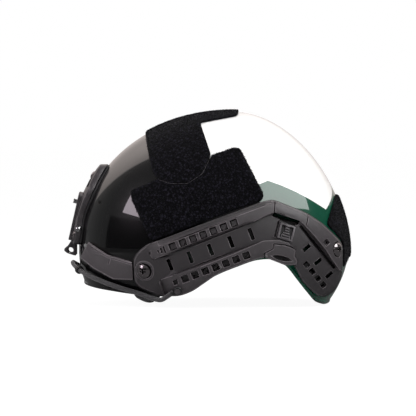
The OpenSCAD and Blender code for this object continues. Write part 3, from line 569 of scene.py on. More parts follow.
# A length of braided elastic from hook to hook round the brow
bungee = {"radius": 0.0023, "sides": 20, "step": 0.0015, "hook": (-28, 18),
          "leave": ((-6.3, -3, 12.2), (-11, -6.5, 12.2), (-17, -9.8, 11)),
          "lie": ((-42, 9.5, 8), (-48, 13.5, 4.6), (-58, 20, 4), (-66, 26, 4.2), (-74, 32, 5), (-80, 36.5, 5.8),
                  (-86, 39.5, 6.4)), "middle": (-90, 40.5, 6.6)}


def runOf(points):  # length along a line of points
    return np.concatenate([[0], np.cumsum(np.linalg.norm(np.diff(points, axis=0), axis=1))])


def bungeeRoute(p):
    left = [sidePoint((p["hook"][0] + y) * mm, (p["hook"][1] + z) * mm, t * mm) for y, z, t in p["leave"]]
    left += [atHeight(math.radians(phi), z * mm, t * mm) for phi, z, t in p["lie"]]
    middle = atHeight(math.radians(p["middle"][0]), p["middle"][1] * mm, p["middle"][2] * mm)
    knots = np.array(left + [middle] + [q * (-1, 1, 1) for q in left[::-1]], float)
    fine = []
    for i in range(len(knots) - 1):
        a, b, c, d = (knots[min(max(k, 0), len(knots) - 1)] for k in (i - 1, i, i + 1, i + 2))
        for s in np.arange(0, 1, 0.05):
            fine.append(0.5 * (2 * b + (c - a) * s + (2 * a - 5 * b + 4 * c - d) * s * s
                               + (3 * b - a - 3 * c + d) * s ** 3))
    fine = np.array(fine + [knots[-1]])
    run = runOf(fine)
    even = np.linspace(0, run[-1], int(run[-1] / p["step"]))
    return np.stack([np.interp(even, run, fine[:, k]) for k in range(3)], -1), run[-1]


def makeBungee(p):
    points, length = bungeeRoute(p)
    tangent = unit(np.gradient(points, axis=0))
    up = unit(np.cross(tangent, (0, 0, 1.0)))
    sides, count, run = p["sides"], len(points), runOf(points)
    ring = around(points, up, np.cross(up, tangent), p["radius"], sides)
    faces = ringFaces(count, sides)
    uv = [((k + a) / sides, run[i + c]) for i in range(count - 1) for k in range(sides)
          for a, c in ((0, 0), (1, 0), (1, 1), (0, 1))]
    for start, order in ((0, -1), ((count - 1) * sides, 1)):
        faces.append([start + k for k in range(sides)][::order])
        uv += [(k / sides, 0) for k in range(sides)]
    piece = meshObject("browBungee", ring.reshape(-1, 3), faces, "cordBraid")
    piece.data.uv_layers.new(name="cordLength").data.foreach_set("uv", np.array(uv, float).ravel())
    facesOut(piece)
    smooth(piece, 60)
    return settle(piece, "helmet", "cord", "bungee"), points, length


cord, cordPoints, cordLength = makeBungee(bungee)
print("bungee laid", round(cordLength, 4))


# Helmet shell: the grid carries turn, climb and stand-off, and the tree shapes it by the dome's rule
shellGrid = {"around": 288, "up": 62, "inside": 30, "lip": 0.001, "lipHeight": 0.005, "climb": 0.185,
             "crownTrim": 0.97, "rimRows": 6, "lipRows": 6}


def shellRows(p):
    rows = []
    half = (dome["wall"] + p["lip"]) / 2
    for k in range(p["rimRows"] + 1):  # rounded rim, from the lining side to the lip
        theta = math.radians(-90 + 180 * k / p["rimRows"])
        rows.append((half * (1 - math.cos(theta)) / p["climb"], p["lip"] - half + half * math.sin(theta)))
    low = rows[-1][0]
    lipTop = p["lipHeight"] / p["climb"]
    for k in range(1, p["lipRows"] + 1):
        s = k / p["lipRows"]
        rows.append((low + (lipTop - low) * s, p["lip"] * (1 - s * s * (3 - 2 * s))))
    for k in range(1, p["up"] + 1):
        s = k / p["up"]
        rows.append((lipTop + (p["crownTrim"] - lipTop) * s ** 1.05, 0.0))
    inner = [(low + (p["crownTrim"] - low) * k / p["inside"], -dome["wall"]) for k in range(p["inside"], 0, -1)]
    return inner, rows


def makeShell(p):
    inner, outer = shellRows(p)
    n = p["around"]
    rows, last = inner + outer, (len(inner + outer) - 1) * n
    spin = np.linspace(0, 2 * math.pi, n, endpoint=False)
    share, out = (np.repeat(column, n) for column in zip(*rows))
    turn, edge = (np.tile(row, len(rows)) for row in (spin, edgeClimb(spin)))
    faces = ringFaces(len(rows), n)
    for k in range(n):  # the crown closes from both sides
        faces.append((last + n, (k + 1) % n, k))
        faces.append((last + n + 1, last + k, last + (k + 1) % n))
    piece = meshObject("helmetShell", np.zeros((last + n + 2, 3)), faces)
    keep(piece, "turn", np.append(turn, [0, 0]))
    keep(piece, "climb", np.append(edge + (math.pi / 2 - edge) * share, [math.pi / 2] * 2))
    keep(piece, "standOff", np.append(out, [-dome["wall"], 0]))
    b, size = openTree("domeRule", {"Geometry": "Geometry", **{name: "Float" for name in dome if name != "wall"}})
    phi, a, t = (storedField(b, name) for name in ("turn", "climb", "standOff"))
    k = phi.sin()
    ahead = k < 0.0

    def chosen(kind, names=("Front", "Rear")):
        front, rear = (size[kind + name] for name in names)
        return rear + ahead * (front - rear)

    def bent(kind):
        return size[kind + "Side"] + k * k * (chosen(kind) - size[kind + "Side"])
    q, under = bent("rise"), bent("under")
    height = size["crown"] + (a < 0.0) * (under - size["crown"]) + t
    power = chosen("plan")
    reach = chosen("", ("front", "rear")) + t
    plan = ((abs(phi.cos()) / (size["halfWidth"] + t)) ** power + (abs(k) / reach) ** power) ** (-1 / power)
    r = plan * a.cos().most(0.0) ** (2 / q)
    spot = b.add("ShaderNodeCombineXYZ", sockets={
        0: r * phi.cos(), 1: size["midY"] + r * k, 2: size["midZ"] + a.sign() * height * abs(a.sin()) ** (2 / q)})
    chained(b, size["Geometry"], ("SetPosition", {"Position": spot}), ("MergeByDistance", {"Distance": 1e-6}),
            ("SetShadeSmooth", {}), ("RealizeInstances", {}), ("SetMaterial", {"Material": finishes["shellPaint"]}),
            ("SetMaterial", {"Selection": t < -0.8 * dome["wall"], "Material": finishes["linerCoat"]}))
    runTree(piece, b.tree, dome)
    return settle(piece, "helmet", "shell_paint", "shell")


shellPiece = makeShell(shellGrid)
print("shell shaped", len(shellPiece.data.polygons))


# Plates in relief: a flat layout of outlines whose regions stand at their own levels over the shell
def soften(points, r, n=3):
    points = np.asarray(points, float)
    result = []
    for i, q in enumerate(points):
        ends = []
        for p in (points[i - 1], points[(i + 1) % len(points)]):
            away = p - q
            length = np.linalg.norm(away)
            ends.append(q + away / length * min(r, length * 0.45))
        for s in np.linspace(0, 1, n + 1):
            result.append(ends[0] * (1 - s) ** 2 + 2 * q * s * (1 - s) + ends[1] * s * s)
    return np.array(result)


def turned(points, at, degrees):
    c, s = math.cos(math.radians(degrees)), math.sin(math.radians(degrees))
    points = np.asarray(points, float)
    return np.stack([at[0] + c * points[:, 0] - s * points[:, 1], at[1] + s * points[:, 0] + c * points[:, 1]], -1)


def oblong(centre, width, height, r=0.6, n=2):
    w, h = width / 2, height / 2
    return soften([(centre[0] + sx * w, centre[1] + sy * h) for sx, sy in ((-1, -1), (1, -1), (1, 1), (-1, 1))],
                  r, n)


def offset(points, at, degrees):  # along and over a tilted line through a point
    a = math.radians(degrees)
    p, q = points[:, 0] - at[0], points[:, 1] - at[1]
    return p * math.cos(a) + q * math.sin(a), q * math.cos(a) - p * math.sin(a)


def inset(points, d):  # a closed outline moved inwards by d
    points = np.asarray(points, float)
    area = np.sum(points[:, 0] * np.roll(points[:, 1], -1) - points[:, 1] * np.roll(points[:, 0], -1))
    before, after = points - np.roll(points, 1, 0), np.roll(points, -1, 0) - points
    result = []
    for p, a, c in zip(points, before, after):
        na, nc = (np.array([-v[1], v[0]]) / max(np.linalg.norm(v), 1e-9) * np.sign(area) for v in (a, c))
        mid = na + nc
        mid /= max(np.linalg.norm(mid), 1e-9)
        result.append(p + mid * d / max(mid @ na, 0.4))
    return np.array(result)


def inside(points, outline):
    x, y = points[:, 0], points[:, 1]
    result = np.zeros(len(points), bool)
    for (ax, ay), (bx, by) in zip(outline, np.roll(outline, -1, 0)):
        crosses = (ay > y) != (by > y)
        with np.errstate(divide="ignore", invalid="ignore"):
            result ^= crosses & (x < (bx - ax) * (y - ay) / (by - ay) + ax)
    return result


def nearOutline(points, outline):  # distance to the closed outline
    best = np.full(len(points), 1e9)
    for a, c in zip(outline, np.roll(outline, -1, 0)):
        d = c - a
        s = np.clip(((points - a) @ d) / max(d @ d, 1e-12), 0, 1)
        best = np.minimum(best, np.linalg.norm(points - a - s[:, None] * d, axis=1))
    return best


def reliefPlate(name, outline, regions, bottom, step, place, material):
    # regions: (outline, level) from the broadest to the finest. A level is a number, None for an opening, or a
    # function of the layout points; two outlines hold where they overlap
    regions = [([np.asarray(q, float) for q in (o if isinstance(o, tuple) else (o,))], level) for o, level in regions]
    rims = [np.asarray(outline, float)] + [o for found, _ in regions for o in found]
    low, high = rims[0].min(0), rims[0].max(0)
    gx, gy = np.meshgrid(np.arange(low[0], high[0], step), np.arange(low[1], high[1], step))
    gx[::2] += step / 2
    grid = np.stack([gx.ravel(), gy.ravel()], -1)
    grid = grid[inside(grid, rims[0])]
    for rim in rims:
        grid = grid[nearOutline(grid, rim) > min(1.1, step * 0.4)]
    points, edges = list(map(tuple, grid)), []
    for rim in rims:
        start = len(points)
        points += list(map(tuple, rim))
        edges += [(start + i, start + (i + 1) % len(rim)) for i in range(len(rim))]
    solved = delaunay_2d_cdt([Vector(p) for p in points], edges, [], 0, 1e-4)
    flat = np.array([tuple(v) for v in solved[0]])
    triangles = np.array([f for f in solved[2] if len(f) == 3])
    middle = flat[triangles].mean(1)
    zone, levels = np.full(len(triangles), -1), []
    for i, (found, level) in enumerate(regions):
        held = inside(middle, rims[0])
        for rim in found:
            held &= inside(middle, rim)
        zone[held] = i
        levels.append(None if level is None else level(flat) if callable(level) else np.full(len(flat), float(level)))
    solid = [z >= 0 and levels[z] is not None for z in zone]
    stored, spots, heights = {}, [], []

    def vertex(i, level):
        key = (i, round(float(level), 3))
        if key not in stored:
            stored[key] = len(spots)
            spots.append(flat[i])
            heights.append(float(level))
        return stored[key]
    used, faces, sides = {}, [], {}
    for t, tri in enumerate(triangles):
        for k in range(3):
            a, c = int(tri[k]), int(tri[(k + 1) % 3])
            sides.setdefault((min(a, c), max(a, c)), []).append(t if solid[t] else None)
        if not solid[t]:
            continue
        level = levels[zone[t]]
        faces.append([vertex(i, level[i]) for i in tri])
        faces.append([vertex(i, bottom) for i in tri[::-1]])
        for i in tri:
            used.setdefault(int(i), {round(bottom, 3)}).add(round(float(level[i]), 3))
    for (a, c), found in sides.items():
        found = found + [None] * (2 - len(found))
        if found[0] is None and found[1] is None:
            continue
        pair = [levels[zone[t]] if t is not None else None for t in found]
        ha, hc = ([round(float(p[i]), 3) if p is not None else round(bottom, 3) for p in pair] for i in (a, c))
        if ha[0] == ha[1] and hc[0] == hc[1]:
            continue
        up = [h for h in sorted(used[a]) if min(ha) <= h <= max(ha)]
        down = [h for h in sorted(used[c], reverse=True) if min(hc) <= h <= max(hc)]
        wall = [vertex(a, h) for h in up] + [vertex(c, h) for h in down]
        if len(set(wall)) > 2:
            faces.append(list(dict.fromkeys(wall)))
    spots, heights = np.array(spots), np.array(heights)
    piece = meshObject(name, place(spots, heights), faces, material)
    keep(piece, "sunk", np.maximum(max(heights) - heights, 0))
    facesOut(piece)
    return piece


# The moulded accessory rail
rail = {"gap": 1.6, "face": 9.2, "rimWidth": 0.9, "rimDrop": 0.8, "channel": 3.0, "channelWidth": 21, "pitch": 10.5,
        "pocket": 7.0, "pocketDepth": 4.6, "pocketStart": 9.2, "upperRow": 15.8, "lowerRow": -17.6, "upperPad": 2.4,
        "lowerPad": 0.9, "ridge": 20.6, "step": 0.7, "shade": 2.0, "shadeStart": -3, "shadeEnd": 108,
        "slot": (3.7, 11.7), "arm": (-36.5, 42), "armTilt": 21, "tail": (96.5, 58.5), "tailTilt": -51,
        "tailSlot": (3.7, 8.6), "tailPocket": (6.2, 5.4), "groove": (56, 3), "grooveAt": (7, 8.9), "thin": 0.9,
        "notch": (11.5, 1.0), "notches": (((64.2, 98.8), 90), ((96.3, 85.8), 76)), "notchDepth": 2.4,
        "topSlot": (27, 3.8), "topSlotAt": (75.6, 86.7), "topSlotTilt": -19, "frontScrew": (-61.5, 35.5),
        "rearScrew": (126, 56), "head": 6.6, "latchAt": (75.7, 74), "latchTilt": -17, "latchWidth": 15.6,
        "latchHeight": 15.2, "latchSink": 3.6, "travel": 3.5, "latchGap": 0.3, "latchDrop": 2.2, "frontDrop": 2.4,
        "shoulder": 1.2, "shoulderWidth": 3.6, "hook": (-28, 18), "round": 0.0004}
railLine = [(-72.4, 46.7), (-67.6, 54.5), (-57.8, 62), (-50, 64.2), (-14, 78.2), (53, 103), (62.7, 105),
            (94.8, 92.3), (112.3, 80.7), (128.8, 64.2), (131.7, 58.3), (131.7, 38.9), (130.7, 26.2), (124.9, 14.6),
            (114.2, 7.8), (106.4, 10.7), (92.8, 24.3), (83.1, 42.8), (53, 49.6), (33.5, 42.8), (9.2, 33),
            (-14, 16.5), (-25.8, 11.7), (-46.2, 10.7), (-65.6, 18.5), (-71.4, 24.3)]
railRim = soften(railLine, 5, 4)
floorLine = [(-85, 5), (-85, 66), (-62, 66), (-58, 53.5), (-52.8, 47), (46.2, 85), (58.5, 91), (64.5, 92), (91, 82.4),
             (126.9, 37.4), (132, 33), (140, 28), (140, -5), (84, -5), (84, 42.5), (86.5, 46), (83.7, 51), (85, 57.5),
             (76.6, 63.6), (68.7, 65.8), (54, 65.5), (-46.5, 26.9), (-41, 5)]
insertLine = [(54.9, 53.5), (62.7, 57.3), (63.7, 62.2), (72.4, 61.6), (80.2, 59.3), (85, 56.4), (83.7, 51),
              (86.5, 46), (85, 41.8), (74.4, 41.8), (54.9, 49.6)]


def onSide(spots, t):  # the layout's points in mm set over the left side, at t metres from the shell
    return sidePoint(spots[:, 0] * mm, spots[:, 1] * mm, t)


def onShell(spots, heights, bottom):  # the same along the rail's own normal; the back follows the shell
    top = rail["face"] * mm
    normal = sideNormal(spots[:, 0] * mm, spots[:, 1] * mm, top)
    base = onSide(spots, top) + normal * (heights * mm - top)[:, None]
    return np.where((heights <= bottom + 0.01)[:, None], onSide(spots, heights * mm), base)


def sideFrame(at, t, degrees=0):  # origin and axes of a part set on the left side
    y, z = at[0] * mm, at[1] * mm
    n = sideNormal(y, z, t * mm)
    a = math.radians(degrees)
    u = unit(np.cross((0, -math.sin(a), math.cos(a)), n))
    return sidePoint(y, z, t * mm), u, np.cross(n, u), n


def ringAround(at, r, drop=0, n=28):
    origin, u, v, _ = sideFrame(at, rail["face"] - drop)
    return around(origin, u, v, r * mm, n)[:, 1:] / mm


def onLatch(points):  # a layout on the latch's plane, seen from the side
    origin, u, v, _ = sideFrame(rail["latchAt"], rail["face"] - rail["latchDrop"], rail["latchTilt"])
    return np.array([(origin + (a * u + c * v) * mm)[1:] / mm for a, c in points])


def makeRail(r):
    rim = railRim
    face, floor = r["face"], r["face"] - r["channel"]
    pocket = face - r["pocketDepth"]
    half = r["channelWidth"] / 2
    upper, lower, ridgeAt = r["upperRow"], r["lowerRow"], r["ridge"]

    def arm(points):
        return turned(points, r["arm"], r["armTilt"])

    def tail(points):
        return turned(points, r["tail"], r["tailTilt"])

    def shoulder(points):  # the flanges fall away towards the rail's outline
        fall = 1 - np.clip((nearOutline(points, rim) - 1) / r["shoulderWidth"], 0, 1)
        return np.round(face - r["shoulder"] * fall, 2)

    def ridge(points):  # the upper flange steps down behind its row of pockets
        over = offset(points, r["arm"], r["armTilt"])[1] - ridgeAt
        return np.round(np.minimum(shoulder(points) - r["step"], face - r["step"] - 0.2 * over), 2)

    def rising(start, end):  # a flange that grows out of the floor
        def level(points):
            along = offset(points, r["arm"], r["armTilt"])[0]
            share = np.clip((along - start) / (end - start), 0, 1)
            return np.round(floor + (shoulder(points) - floor) * share, 2)
        return level
    edge = inset(rim, r["rimWidth"])
    crest = inset(rim, 1 + r["shoulderWidth"])
    floorRim = soften(floorLine, 1.5, 3)
    regions = [(rim, face - r["rimDrop"] - r["shoulder"]), (edge, shoulder), ((crest, crest), shoulder),
               (arm([(-16.1, 17.8), (-13.4, half), (-1, half), (-1, 26), (-16, 26)]), rising(-15.5, -2)),
               (arm([(-17, -33), (-14.7, -half), (-1, -half), (-1, -33)]), rising(-15, -2)),
               ((arm([(-3, ridgeAt), (113, ridgeAt), (113, 45), (-3, 45)]), edge), ridge),
               (floorRim, floor - 0.8), ((floorRim, edge), floor)]

    def cut(laid, at, size, level, rounding=0.6, n=2):
        regions.append((laid(oblong(at, *size, rounding, n)), level))
    wide = r["pocket"]
    for k in range(7):
        for v, rise in ((upper, r["upperPad"]), (lower, r["lowerPad"])):
            at = (r["pocketStart"] + k * r["pitch"], v)
            cut(arm, at, (wide, wide), pocket)
            cut(arm, at, (wide - 2, wide - 2), pocket + rise, 0.4, 1)
    for k in range(3):
        cut(arm, (0.8 - 3.2 * k, upper), (1.6, wide - 1.8 * k), floor + 0.4, 0.4)
    cut(arm, (-0.5, lower), (4.5, wide - 2), floor)
    for k in range(5):
        cut(arm, (2 * r["pitch"] * k, 0), r["slot"], None, 0.3)
    for k in range(4):
        cut(tail, (13.3 + 9 * k, -10.4), r["tailPocket"], floor - 2.4)
    cut(tail, (7.7, 17), (5.5, 5.5), floor)
    for k in range(3):
        cut(tail, (18 * k, 0), r["tailSlot"], None, 0.3)
    cut(tail, r["grooveAt"], r["groove"], r["gap"] + r["thin"], 0.8)
    for at, tilt in r["notches"]:
        cut(lambda q: turned(q, at, tilt), (0, 0), r["notch"], face - r["notchDepth"], 0.2, 1)
    cut(lambda q: turned(q, r["topSlotAt"], r["topSlotTilt"]), (0, 0), r["topSlot"], None, 0.8)
    side, centre = r["latchWidth"] / 2 + r["latchGap"], -0.5  # the latch's bay, with the way it slides
    low = centre - r["latchHeight"] / 2 - r["latchGap"]
    high = centre + r["latchHeight"] / 2 + r["travel"] + r["latchGap"]
    bay = soften([(-side, low), (side, low), (side, high), (-side, high)], 0.5, 2)
    regions.append((onLatch(bay), face - r["latchDrop"] - r["latchSink"]))
    regions.append((onLatch([(-side - 2.4, low + 0.8), (-side - 0.6, low + 0.4), (-side - 0.6, high - 2.6),
                             (-side - 2.4, high - 2.2)]), r["gap"] + r["thin"]))
    regions.append((inset(insertLine, -0.8), None))
    for at, drop in ((r["frontScrew"], r["frontDrop"]), (r["rearScrew"], 0)):
        if drop:
            regions.append((ringAround(at, r["head"] + 3.4, drop), face - drop + 0.2))
        regions.append((ringAround(at, r["head"] + 1.3, drop), face - drop - 3))
    piece = reliefPlate("railLeft", rim, regions, r["gap"], 4.0, lambda s, h: onShell(s, h, r["gap"]), "railPlastic")
    spots = np.array([vertex.co[1:] for vertex in piece.data.vertices]) / mm
    for along, over, value in zip(*offset(spots, r["arm"], r["armTilt"]), piece.data.attributes["sunk"].data):
        if over > ridgeAt + 0.3 and r["shadeStart"] < along < r["shadeEnd"]:  # shade behind the ridge
            value.value += r["shade"]
    return bevelled(piece, r["round"], edgeWearAndHighlight="railEdge")


railLeft = makeRail(rail)
settlePair(railLeft, "rail_plastic", "rail")
print("rails moulded", len(railLeft.data.polygons))


# Posts that carry the bungee's hooks, turned on the rail
hookPost = {"shaft": 1.6, "cap": 2.9, "low": -4, "neck": 4.2, "top": 5.4, "sides": 40}


def makePost(p):
    profile = [(p["shaft"], p["low"]), (p["shaft"], p["neck"]), (p["cap"], p["neck"]), (p["cap"], p["top"] - 0.3),
               (p["cap"] * 0.7, p["top"])]
    n, last = p["sides"], (len(profile) - 1) * p["sides"]
    origin, u, v, w = sideFrame(rail["hook"], rail["face"])
    points = [spot for radius, height in profile for spot in around(origin + mm * height * w, u, v, mm * radius, n)]
    faces = ringFaces(len(profile), n) + [list(range(n))[::-1], list(range(last, last + n))]
    piece = meshObject("hookPostLeft", points, faces, "railPlastic")
    facesOut(piece)
    return bevelled(piece, 0.0002, 30)


settlePair(makePost(hookPost), "rail_plastic")

# Half-moon insert with its finger scoop
insertPlate = {"bottom": 1.6, "face": 8.6, "scoop": 4.0, "scoopAt": (71.5, 48.6), "scoopTilt": -14, "radius": 24.6,
               "halfDepth": 2.6, "shade": 1.9, "edge": 0.7, "edgeDrop": 0.8}


def makeInsert(p):
    rim = soften(insertLine, 1, 3)
    r, d = p["radius"], p["halfDepth"]
    reach = math.sqrt(r * r - (r - d) ** 2)

    def lens(k, n=12):
        x = np.linspace(-reach, reach, n + 1)
        y = np.sqrt(r * r - x * x) - (r - d)
        upper, lower = np.stack([x, y], -1), np.stack([x, -y], -1)[::-1]
        return turned(np.concatenate([upper[:-1], lower[:-1]]) * k, p["scoopAt"], p["scoopTilt"])

    def bowl(points):
        u, v = offset(points, p["scoopAt"], p["scoopTilt"])
        s = np.clip((u / reach) ** 2 + (v / d) ** 2, 0, 1)
        return np.round(p["face"] - p["scoop"] * (1 - s ** 1.5), 2)
    regions = [(rim, p["face"] - p["edgeDrop"]), (inset(rim, p["edge"]), p["face"])]
    regions += [(lens(k), bowl) for k in (0.98, 0.7, 0.4)]
    piece = reliefPlate("insertLeft", rim, regions, p["bottom"], 2.2, lambda s, h: onShell(s, h, p["bottom"]),
                        "railPlastic")
    piece = bevelled(piece, 0.0003, edgeWearAndHighlight="railEdge")
    for value in piece.data.attributes["sunk"].data:  # the scoop lies in shade
        value.value *= p["shade"]
    return piece


settlePair(makeInsert(insertPlate), "rail_plastic", "insert")

# Brow bands between the shroud and the rails, with a ledge along the top
browBand = {"bottom": 0.5, "face": 4.5, "edge": 0.9, "ledge": 0.7, "seam": (-93.5, 48.5), "seamTilt": -18,
            "seamSize": (0.8, 9), "seamDepth": 0.8, "screwGap": 3.7, "railGap": 0.3}
ledgeLine = [(-112, 58.2), (-97, 49.6), (-72, 42.6), (-58, 41.4), (-58, 40.2), (-72, 41.2), (-97.6, 48.2),
             (-112.8, 57)]
bandLine = [(-115.5, 62.6), (-111.3, 59.6), (-96.7, 50.8), (-72, 44), (-60, 43), (-60, 26.4), (-72.4, 26.7),
            (-91.3, 27), (-110.3, 36.5), (-124.3, 46.3)]


def makeBand(p):
    rim = soften(bandLine, 1.5, 3)
    screw = ringAround(rail["frontScrew"], rail["head"] + p["screwGap"])
    seam = turned(oblong((0, -3), *p["seamSize"], 0.2, 1), p["seam"], p["seamTilt"])
    regions = [(rim, p["face"] - p["edge"]), (inset(rim, p["edge"]), p["face"]),
               (soften(ledgeLine, 0.4, 1), p["face"] - p["ledge"]), (seam, p["face"] - p["seamDepth"]),
               (inset(railRim, -p["railGap"]), None), (screw, None)]
    piece = reliefPlate("browBandLeft", rim, regions, p["bottom"], 3.0, lambda s, h: onSide(s, h * mm), "railPlastic")
    return bevelled(piece, 0.00035, edgeWearAndHighlight="railEdge")


settlePair(makeBand(browBand), "rail_plastic", "brow_band")
print("bands and inserts made")

# Loop fabric panels with a cut edge and short standing loops
loopPanel = {"bottom": 0.5, "face": 2.2, "seam": 1.0, "step": 2.2, "perSquareMm": 0.72, "loopRadius": 0.00011,
             "loopReach": 0.00045, "loopHeight": 0.00075, "seed": 7, "lean": 0.5, "sizes": (0.7, 1.35), "edge": 0.5,
             "swell": 0.12}
topLine = [(-60.5, 175), (-59.8, 163.3), (-55.9, 143.9), (-52, 130.2), (-46.5, 123.6), (-34.5, 120.3), (-19, 120.7),
           (-5.5, 129.5), (3.4, 147.7), (-7.3, 179.4), (29.5, 186.4), (33, 200), (-60, 200)]
sideLine = [(-73.8, 111.8), (-71.5, 113.9), (-48.1, 123.8), (3.4, 146.8), (25.5, 154.5), (31.4, 153.6), (53, 111.8),
            (53.9, 107), (51.5, 103.8), (-14, 79.6), (-50, 65.8), (-55.9, 66.4), (-73.8, 105.9)]
rearLine = [(126.8, 108), (116.4, 80.3), (130.2, 66), (133.4, 59.5), (133.4, 37), (139.5, 47.6), (160, 50),
            (160, 108)]


def loopFibre():  # one small arch of thread
    theta = np.linspace(0, math.pi, 3)
    line = np.stack([loopPanel["loopReach"] * np.cos(theta), 0 * theta, loopPanel["loopHeight"] * np.sin(theta)], -1)
    radial = np.stack([np.cos(theta), 0 * theta, np.sin(theta)], -1)
    points = around(line, radial, (0, 1, 0), loopPanel["loopRadius"], 3).reshape(-1, 3)
    faces = ringFaces(3, 3) + [(2, 1, 0), (6, 7, 8)]
    piece = meshObject("loopFibre", points, faces, "loopFabric")
    facesOut(piece)
    return piece


def pileTree():
    b, inputs = openTree("loopPile", {"Geometry": "Geometry", "Density": "Float", "Seed": "Int", "Fibre": "Object"})
    spread = b.add("GeometryNodeDistributePointsOnFaces", {"distribute_method": "RANDOM"},
                   {"Mesh": inputs["Geometry"], "Density": inputs["Density"], "Seed": inputs["Seed"],
                    "Selection": storedField(b, "pile") > 0.5}, "Points")
    aim = Wire(b, b.find(spread.socket.node.outputs, "Rotation"))
    fibre = b.add("GeometryNodeObjectInfo", sockets={"Object": inputs["Fibre"]}, out="Geometry")
    lean, (low, high) = loopPanel["lean"], loopPanel["sizes"]
    spin = b.add("FunctionNodeRandomValue", {"data_type": "FLOAT_VECTOR"},
                 {"Min": (-lean, -lean, 0.0), "Max": (lean, lean, 6.283), "Seed": inputs["Seed"]}, "Value")
    turn = b.add("FunctionNodeRotateRotation", {"rotation_space": "LOCAL"}, {"Rotation": aim, "Rotate By": spin})
    size = b.add("FunctionNodeRandomValue", {"data_type": "FLOAT"},
                 {"Min": low, "Max": high, "Seed": inputs["Seed"]}, "Value")
    loops = b.add("GeometryNodeInstanceOnPoints", sockets={"Points": spread, "Instance": fibre, "Rotation": turn,
                                                           "Scale": size})
    both = b.add("GeometryNodeJoinGeometry", sockets={0: loops})
    b.tree.links.new(inputs["Geometry"].socket, both.socket.node.inputs[0])
    chained(b, both, ("RealizeInstances", {}), ("SetMaterial", {"Material": finishes["loopFabric"]}))
    return b.tree


pile = {"tree": pileTree(), "fibre": loopFibre()}
pile["fibre"].hide_render = True


def standLoops(piece, seed):
    normal, centre = (np.array([getattr(f, kind) for f in piece.data.polygons]) for kind in ("normal", "center"))
    outward = np.sum(normal * (centre - (0, dome["midY"], dome["midZ"])), 1) > 0.01
    keep(piece, "pile", outward.astype(float), "FACE")
    runTree(piece, pile["tree"], {"Density": loopPanel["perSquareMm"] * 1e6, "Seed": seed, "Fibre": pile["fibre"]})
    print(piece.name, "has loops:", len(piece.data.polygons), "faces")


def fuzzed(heights, spots):  # the face rises and falls a little between tufts
    p, q = spots[:, 0], spots[:, 1]
    wave = np.sin(p * 1.9 + np.sin(q * 1.3)) * np.sin(q * 2.1 + np.cos(p * 1.1))
    return heights + np.where(heights > 1.5, loopPanel["swell"] * wave, 0)


def fabricPanel(name, rim, border, cuts, place):
    p = loopPanel
    regions = [(rim, p["face"] - p["edge"]), (inset(rim, border), p["face"])] + [(cut, None) for cut in cuts]
    return reliefPlate(name, rim, regions, p["bottom"], p["step"], lambda s, h: place(s, fuzzed(h, s) * mm),
                       "loopFabric")


sideCuts = [inset(rim, -loopPanel["seam"]) for rim in (soften(topLine, 3, 4), railRim)]
loopSideLeft = fabricPanel("loopSideLeft", soften(sideLine, 3.5, 4), loopPanel["edge"], sideCuts, onSide)
loopSideRight = mirrored(loopSideLeft)


def halfOutline(outline, measure, r):  # one side of an outline, from side view into the panel's own layout
    rim = soften(outline, r, 3)
    fine = []
    for a, c in zip(rim, np.roll(rim, -1, 0)):
        count = max(int(np.linalg.norm(c - a) / 2.5), 1)
        fine += [a + (c - a) * k / count for k in range(count)]
    return measure(np.array(fine))


def acrossMiddle(half, middle, least):  # joins the kept side to its mirror image
    far = np.abs(half[:, 0] - middle) > least
    start = next(i for i in range(len(far)) if far[i] and not far[i - 1])
    order = [(start + k) % len(far) for k in range(len(far)) if far[(start + k) % len(far)]]
    kept = half[order]
    first, last = [(middle, kept[0, 1])], [(middle, kept[-1, 1])]
    return np.concatenate([first, kept, last, (kept * (-1, 1) + (2 * middle, 0))[::-1]])


archWidth, turnWidth = 1.9, 1.75  # layout millimetres for a degree over the crown and round the nape


def archOf(points):
    top = archPoint(np.zeros(1), points[:, 0] * mm, loopPanel["face"] * mm)[:, 2] - dome["midZ"]
    a = np.degrees(np.arccos(np.clip((points[:, 1] * mm - dome["midZ"]) / top, -1, 1)))
    return np.stack([a * archWidth, points[:, 0]], -1)


def turnOf(points):
    x = sideX(points[:, 0] * mm, points[:, 1] * mm, loopPanel["face"] * mm)
    reach = atHeight(np.full(1, math.pi / 2), points[:, 1] * mm, loopPanel["face"] * mm)[:, 1]
    phi = np.degrees(np.arctan2(points[:, 0] * mm - dome["midY"], x))
    return np.stack([np.where(points[:, 0] * mm >= reach - 0.0002, 90, phi) * turnWidth, points[:, 1]], -1)


loopTop = fabricPanel("loopTop", acrossMiddle(halfOutline(topLine, archOf, 3), 0, 1.2), 0.6, [],
                      lambda s, t: archPoint(np.radians(s[:, 0] / archWidth), s[:, 1] * mm, t))
railTurn = halfOutline(sideCuts[1], turnOf, 0.5)
loopRear = fabricPanel("loopRear", acrossMiddle(halfOutline(rearLine, turnOf, 3), 90 * turnWidth, 1.2), 0.6,
                       [railTurn, railTurn * (-1, 1) + (180 * turnWidth, 0)],
                       lambda s, t: atHeight(np.radians(s[:, 0] / turnWidth), s[:, 1] * mm, t))
for k, (piece, node) in enumerate(((loopTop, "top"), (loopSideLeft, "side_left"), (loopSideRight, "side_right"),
                                   (loopRear, "rear"))):
    standLoops(piece, loopPanel["seed"] + k)
    settle(piece, "helmet", "loop_fabric", "loop_" + node)
bpy.data.objects.remove(pile["fibre"])


# Hardware whose solids are right: the same form with its edges eased
def spotsOf(piece):  # a piece's points as they lie on the left side
    spots = np.array([v.co for v in piece.data.vertices])
    return spots * (np.sign(spots[0, 0]), 1, 1)


